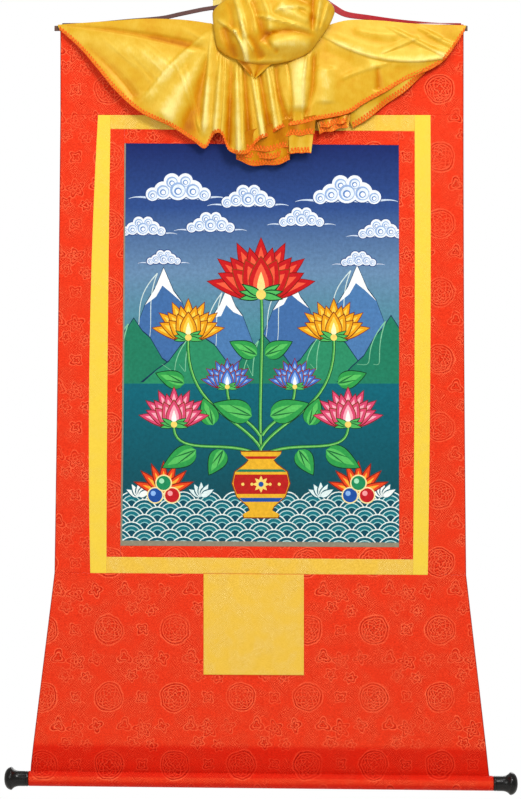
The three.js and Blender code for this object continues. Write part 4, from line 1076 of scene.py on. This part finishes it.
def layHills():
    for middle, half, peak, colour, snow in painting["hills"]:
        foot = painting["hillFoot"]
        edge = np.array([-1, -0.72, -0.5, -0.3, -0.14, 0, 0.16, 0.3, 0.52, 0.7, 1.0])
        rise = np.array([0, 0.24, 0.4, 0.68, 0.82, 1, 0.8, 0.7, 0.38, 0.27, 0.0])
        x, z = middle + half * edge, foot + (peak - foot) * rise
        lay("12324e", np.stack([x, z + 2.2], -1))
        ridge = np.stack([x, z], -1)[1:-1].tolist()
        lay(colour, ridge + [(middle + half * 0.97, foot), (middle - half * 0.97, foot)])
        for share in (0.32, 0.62):
            gully = bezier((middle - half * 0.1, peak - 8), (middle - half * share, peak - 60),
                           (middle - half * 0.3 * share, peak - 80), (middle - half * share, foot + 30))
            lay("cfe0dc" if snow else "7fc39a", stroke(gully, 1.6, 0.5))
        if snow:
            cap = [(middle + half * e, foot + (peak - foot) * r) for e, r in zip(edge[3:8], rise[3:8])]
            lay("f1f4f4", cap + [(middle + half * 0.12, peak - 38), (middle - 0.02 * half, peak - 27),
                                 (middle - half * 0.12, peak - 44)])


def layClouds():
    for middleX, middleZ, size in painting["clouds"]:
        places = [(middleX + dx * size, middleZ + dz * size, r * size)
                  for dx, dz, r in painting["cloudDiscs"]]
        for lean in (-1, 1):  # trailing wisps
            tail = bezier(*((middleX + dx * lean * size, middleZ + dz * size)
                            for dx, dz in painting["cloudTail"]))
            lay("27457f", stroke(tail, 9 * size, 1.0))
            lay("c8d6e8", stroke(tail, 6 * size, 0.5))
        for x, z, r in places:
            lay("27457f", disc(x, z, r + 1.3))
        for x, z, r in places:
            lay("e9eef4", disc(x, z, r))
        for x, z, r in places:
            lay("8fabd4", disc(x, z - 0.1 * r, 0.7 * r))
            lay("dfe8f2", disc(x + 0.06 * r, z - 0.14 * r, 0.56 * r))
            lay("5f86bf", disc(x, z - 0.2 * r, 0.34 * r, 14))
            lay("f7f9fb", disc(x + 0.04 * r, z - 0.22 * r, 0.22 * r, 12))


def layWater():
    size = painting["scale"]
    rows = int((painting["waterTop"] - levelSeams["pictureBottom"][1]) / (size * 0.55)) + 2
    for row in range(rows):
        z = painting["waterTop"] - row * size * 0.55
        for column in range(-6, 7):
            x = (column + 0.5 * (row % 2)) * 2 * size * 0.95
            for share, colour in painting["scaleRings"]:
                lay(colour, disc(x, z - size, size * share, 20))
    for x, colour in ((-188, "f0f6f2"), (-92, "dff0ee"), (92, "dff0ee"), (188, "f0f6f2")):
        for turn in (60, 30, 0, -30, -60):  # spray where the water breaks
            lay("0d5868", petal(x, painting["waterTop"] - 8, turn, 25, 7))
            lay(colour, petal(x, painting["waterTop"] - 8, turn, 22, 5))


def layVase():
    vase = painting["vase"]
    profile = np.array(vase["profile"], float)
    right = np.stack([vase["x"] + profile[:, 0], vase["foot"] + profile[:, 1]], -1)
    left = np.stack([vase["x"] - profile[:, 0], vase["foot"] + profile[:, 1]], -1)[::-1]
    outline = np.vstack([right[1:], left[:-1]])
    middle = np.array([vase["x"], vase["foot"] + 50])
    lay("7a2a08", (outline - middle) * 1.035 + middle)
    lay("e7b02a", outline)

    def band(low, high, colour):
        levels = np.linspace(low, high, 6)
        half = np.interp(levels, profile[1:, 1], profile[1:, 0]) - 0.8
        edge = np.stack([half, vase["foot"] + levels], -1)
        lay(colour, np.vstack([edge, edge[::-1] * (-1, 1)]))

    band(36, 66, "b8201c")
    band(70, 74, "1f7a5c")
    band(24, 30, "1d4fa0")
    band(90, 94, "b8201c")
    for turn in range(0, 360, 45):
        lay("f6d46a", petal(vase["x"], vase["foot"] + 51, turn, 13, 3.6))
    lay("1d4fa0", disc(vase["x"], vase["foot"] + 51, 4))
    for x in (-28, -14, 14, 28):
        lay("f6d46a", disc(x, vase["foot"] + 51, 2.4, 12))


def layPlant():
    for run in painting["stems"]:
        line = bezier(*run)
        lay("0c3a22", stroke(line, 6.4, 5.2))
        lay("3fa050", stroke(line, 4.4, 3.4))
        lay("9ad66c", stroke(line + (0.7, 0), 1.1, 0.8))
    for x, z, angle, length, width in painting["leaves"]:
        lay("0c3a22", petal(x, z, angle, length + 2, width + 1.6, 13))
        lay("2f9a4a", petal(x, z, angle, length, width, 13))
        lay("58bf5e", petal(x, z, angle, length * 0.86, width * 0.5, 11))
        for side in (-1, 1):
            lay("1c6a38", petal(x, z, angle + side * 9, length * 0.7, 1.3, 7))
    for x, z, length, outer, middle, inner in painting["blossoms"]:
        for row, (turns, share) in enumerate(painting["petalRows"]):
            for turn in turns:
                reach, wide = length * share, length * 0.2 * (1 + 0.12 * row)
                lay("7a1208" if row < 2 else "8a3a10", petal(x, z - 2 * row, turn, reach + 2.2, wide + 1.5))
                lay(outer, petal(x, z - 2 * row, turn, reach, wide))
                lay(middle, petal(x, z - 2 * row, turn, reach * 0.84, wide * 0.66))
                lay(inner, petal(x, z - 2 * row, turn, reach * 0.62, wide * 0.34))
        for turn in (100, 80, 60, -60, -80, -100):  # green sepals
            lay("0c3a22", petal(x, z - 4, turn, length * 0.42, length * 0.09))
            lay("4fb45a", petal(x, z - 4, turn, length * 0.38, length * 0.065))
        lay("f6d46a", disc(x, z - 3, length * 0.09))


def layJewels():
    for x, z in painting["jewels"]:
        for turn in (70, 46, 23, 0, -23, -46, -70):  # tongues of fire
            lay("8a1c10", petal(x, z + 4, turn, 50, 9))
            lay("e8481e", petal(x, z + 4, turn, 46, 7))
            lay("f8b03a", petal(x, z + 4, turn, 34, 4))
        for dx, dz, colour, shine in painting["stones"]:
            lay("f6e2a0", disc(x + dx, z + dz, 13))
            lay(colour, disc(x + dx, z + dz, 11))
            lay(shine, disc(x + dx - 3, z + dz + 3, 4, 14))


# Triangles of the first area, counterclockwise, each with the number of the topmost area it lies in
def triangulate(points, areas):
    # of the result, 0 is the points, 2 the triangles and 5 the areas that each triangle lies in
    result = delaunay_2d_cdt([Vector(p) for p in points], [], areas, 1, painting["merge"])
    kept = [(t, max(f)) for t, f in zip(result[2], result[5]) if 0 in f]
    flat = np.array([tuple(p) for p in result[0]])
    tris = np.array([t for t, top in kept])
    used = np.unique(tris)
    number = np.full(len(flat), -1)
    number[used] = np.arange(len(used))
    flat, tris = flat[used], number[tris]
    a, b, c = flat[tris[:, 0]], flat[tris[:, 1]], flat[tris[:, 2]]
    turned = (b[:, 0] - a[:, 0]) * (c[:, 1] - a[:, 1]) - (b[:, 1] - a[:, 1]) * (c[:, 0] - a[:, 0]) < 0
    tris[turned] = tris[turned][:, ::-1]
    return flat, tris, np.array([top for t, top in kept])


def makePicture():
    places = panelPlaces("pictureLeft", "pictureRight", "pictureTop", "pictureBottom")
    grid = np.stack(places[:2], -1)
    rim = np.concatenate([grid[0, :-1], grid[:-1, -1], grid[-1, :0:-1], grid[:0:-1, 0]])
    for laying in (layHills, layClouds, layWater, layJewels, layPlant, layVase):
        laying()
    low, wide = levelSeams["pictureBottom"], painting["rimWidth"]
    # bare margins at the foot and the left, carried past the panel's edges
    lay(painting["rim"], [(-230, low[0] + 3 * wide), (230, low[1] + 3 * wide),
                          (230, low[1] - 9), (-230, low[0] - 9)])
    high, middle, foot = (uprightX("pictureLeft", level) + wide for level in (-270, -580, -895))
    lay(painting["rim"], [(-230, -240), (high, -240), (middle, -580), (foot, -910), (-230, -910)])
    points = [tuple(p) for p in counterclockwise(rim)]
    areas = [list(range(len(points)))]
    for colour, outline in shapes:
        areas.append(list(range(len(points), len(points) + len(outline))))
        points += [tuple(p) for p in outline]
    # inner points let empty stretches follow the cloth's waves
    inner = [tuple(p) for p in grid[3:-3, 3:-3].reshape(-1, 2)]
    flat, tris, top = triangulate(points + inner, areas)
    sides = np.concatenate([tris[:, [0, 1]], tris[:, [1, 2]], tris[:, [2, 0]]]).tolist()
    directed = set(map(tuple, sides))
    follows = dict(side for side in directed if side[::-1] not in directed)
    loop = [min(follows)]
    while follows[loop[-1]] != loop[0]:
        loop.append(follows[loop[-1]])
    reverse, backTris = triangulate([tuple(p) for p in flat[loop]] + inner, [list(range(len(loop)))])[:2]
    half = mount["thick"] / 2
    front = np.stack([flat[:, 0], clothWave(*flat.T) - half, flat[:, 1]], -1)
    back = np.stack([reverse[:, 0], clothWave(*reverse.T) + half, reverse[:, 1]], -1)
    layer = len(flat)
    nearest = [int(np.argmin(((reverse - flat[i]) ** 2).sum(1))) + layer for i in loop]
    after = np.roll(np.arange(len(loop)), -1)
    faces = tris.tolist() + (backTris[:, ::-1] + layer).tolist()
    faces += [(loop[j], loop[k], nearest[k], nearest[j]) for j, k in zip(after, range(len(loop)))]
    piece = newPiece("picture_cloth", np.concatenate([front, back]) * mm, faces,
                     [paintedMaterial(), canvasMaterial()], ["picture"])
    index = np.zeros(len(faces), np.int32)
    index[len(tris):len(tris) + len(backTris)] = 1
    piece.data.polygons.foreach_set("material_index", index)
    paint = piece.data.color_attributes.new("paint", "FLOAT_COLOR", "CORNER")
    colours = np.zeros((len(shapes) + 1, 4), np.float32)
    for k, (colour, outline) in enumerate(shapes):
        colours[k + 1] = srgb(colour)
    corners = np.zeros((len(piece.data.loops), 4), np.float32)
    corners[:3 * len(tris)] = np.repeat(colours[top], 3, axis=0)
    paint.data.foreach_set("color", corners.ravel())
    print("picture painted,", len(shapes), "shapes,", len(faces), "faces")


makePicture()


# Studio: white round about, soft light from above in front, pale floor under the hung scroll
studio = {
    "fill": 0.34, "floorZ": -1.75, "floor": (-2.5, 2.5, -2.5, 1.5),
    "lights": [  # place, target, size, watts
        ((0.9, -2.4, 1.2), (0, 0, -0.6), 0.9, 53),
        ((-1.5, -2.8, 0.0), (0, 0, -0.95), 1.4, 28),
        ((0.0, -0.9, 1.5), (0, 0, -0.4), 0.9, 11),
        ((0.7, 2.8, 0.5), (0, 0, -0.6), 1.8, 30)],
}


def makeStudio():
    world = bpy.data.worlds.new("studio")
    scene.world = world
    world.use_nodes = True
    tree = world.node_tree
    tree.nodes.clear()
    around = addNode(tree, "Background", {"Color": (1.0, 0.98, 0.95, 1.0), "Strength": studio["fill"]})
    seen = addNode(tree, "Background", {"Color": (1.0, 1.0, 1.0, 1.0), "Strength": 1.0})
    addNode(tree, "OutputWorld", [addNode(tree, "MixShader", [addNode(tree, "LightPath"), around, seen])])
    for number, (place, target, size, watts) in enumerate(studio["lights"]):
        lamp = bpy.data.lights.new("softbox_%d" % number, "AREA")
        lamp.energy = watts
        lamp.size = size
        box = bpy.data.objects.new(lamp.name, lamp)
        box.location = place
        box.rotation_euler = (Vector(target) - Vector(place)).to_track_quat("-Z", "Y").to_euler()
        scene.collection.objects.link(box)
    material, tree = newMaterial("plaster_painted_pale")
    place = addNode(tree, "TexCoord", out=3)
    mottle = addNode(tree, "TexNoise", {"Vector": place, "Scale": 6.0, "Detail": 4.0})
    colour = addNode(tree, "ValToRGB", [mottle])
    fillRamp(colour, [(0.3, "e9e7e3"), (0.7, "f2f1ee")])
    skin = addNode(tree, "BsdfPrincipled", {"Base Color": colour, "Roughness": 0.8})
    addNode(tree, "OutputMaterial", [skin])
    left, right, near, far = studio["floor"]
    mesh = bpy.data.meshes.new("floor")
    corners = [(left, near), (right, near), (right, far), (left, far)]
    mesh.from_pydata([(x, y, studio["floorZ"]) for x, y in corners], [], [(0, 1, 2, 3)])
    mesh.materials.append(material)
    floor = bpy.data.objects.new("floor", mesh)
    scene.collection.objects.link(floor)


makeStudio()
print("studio lit")
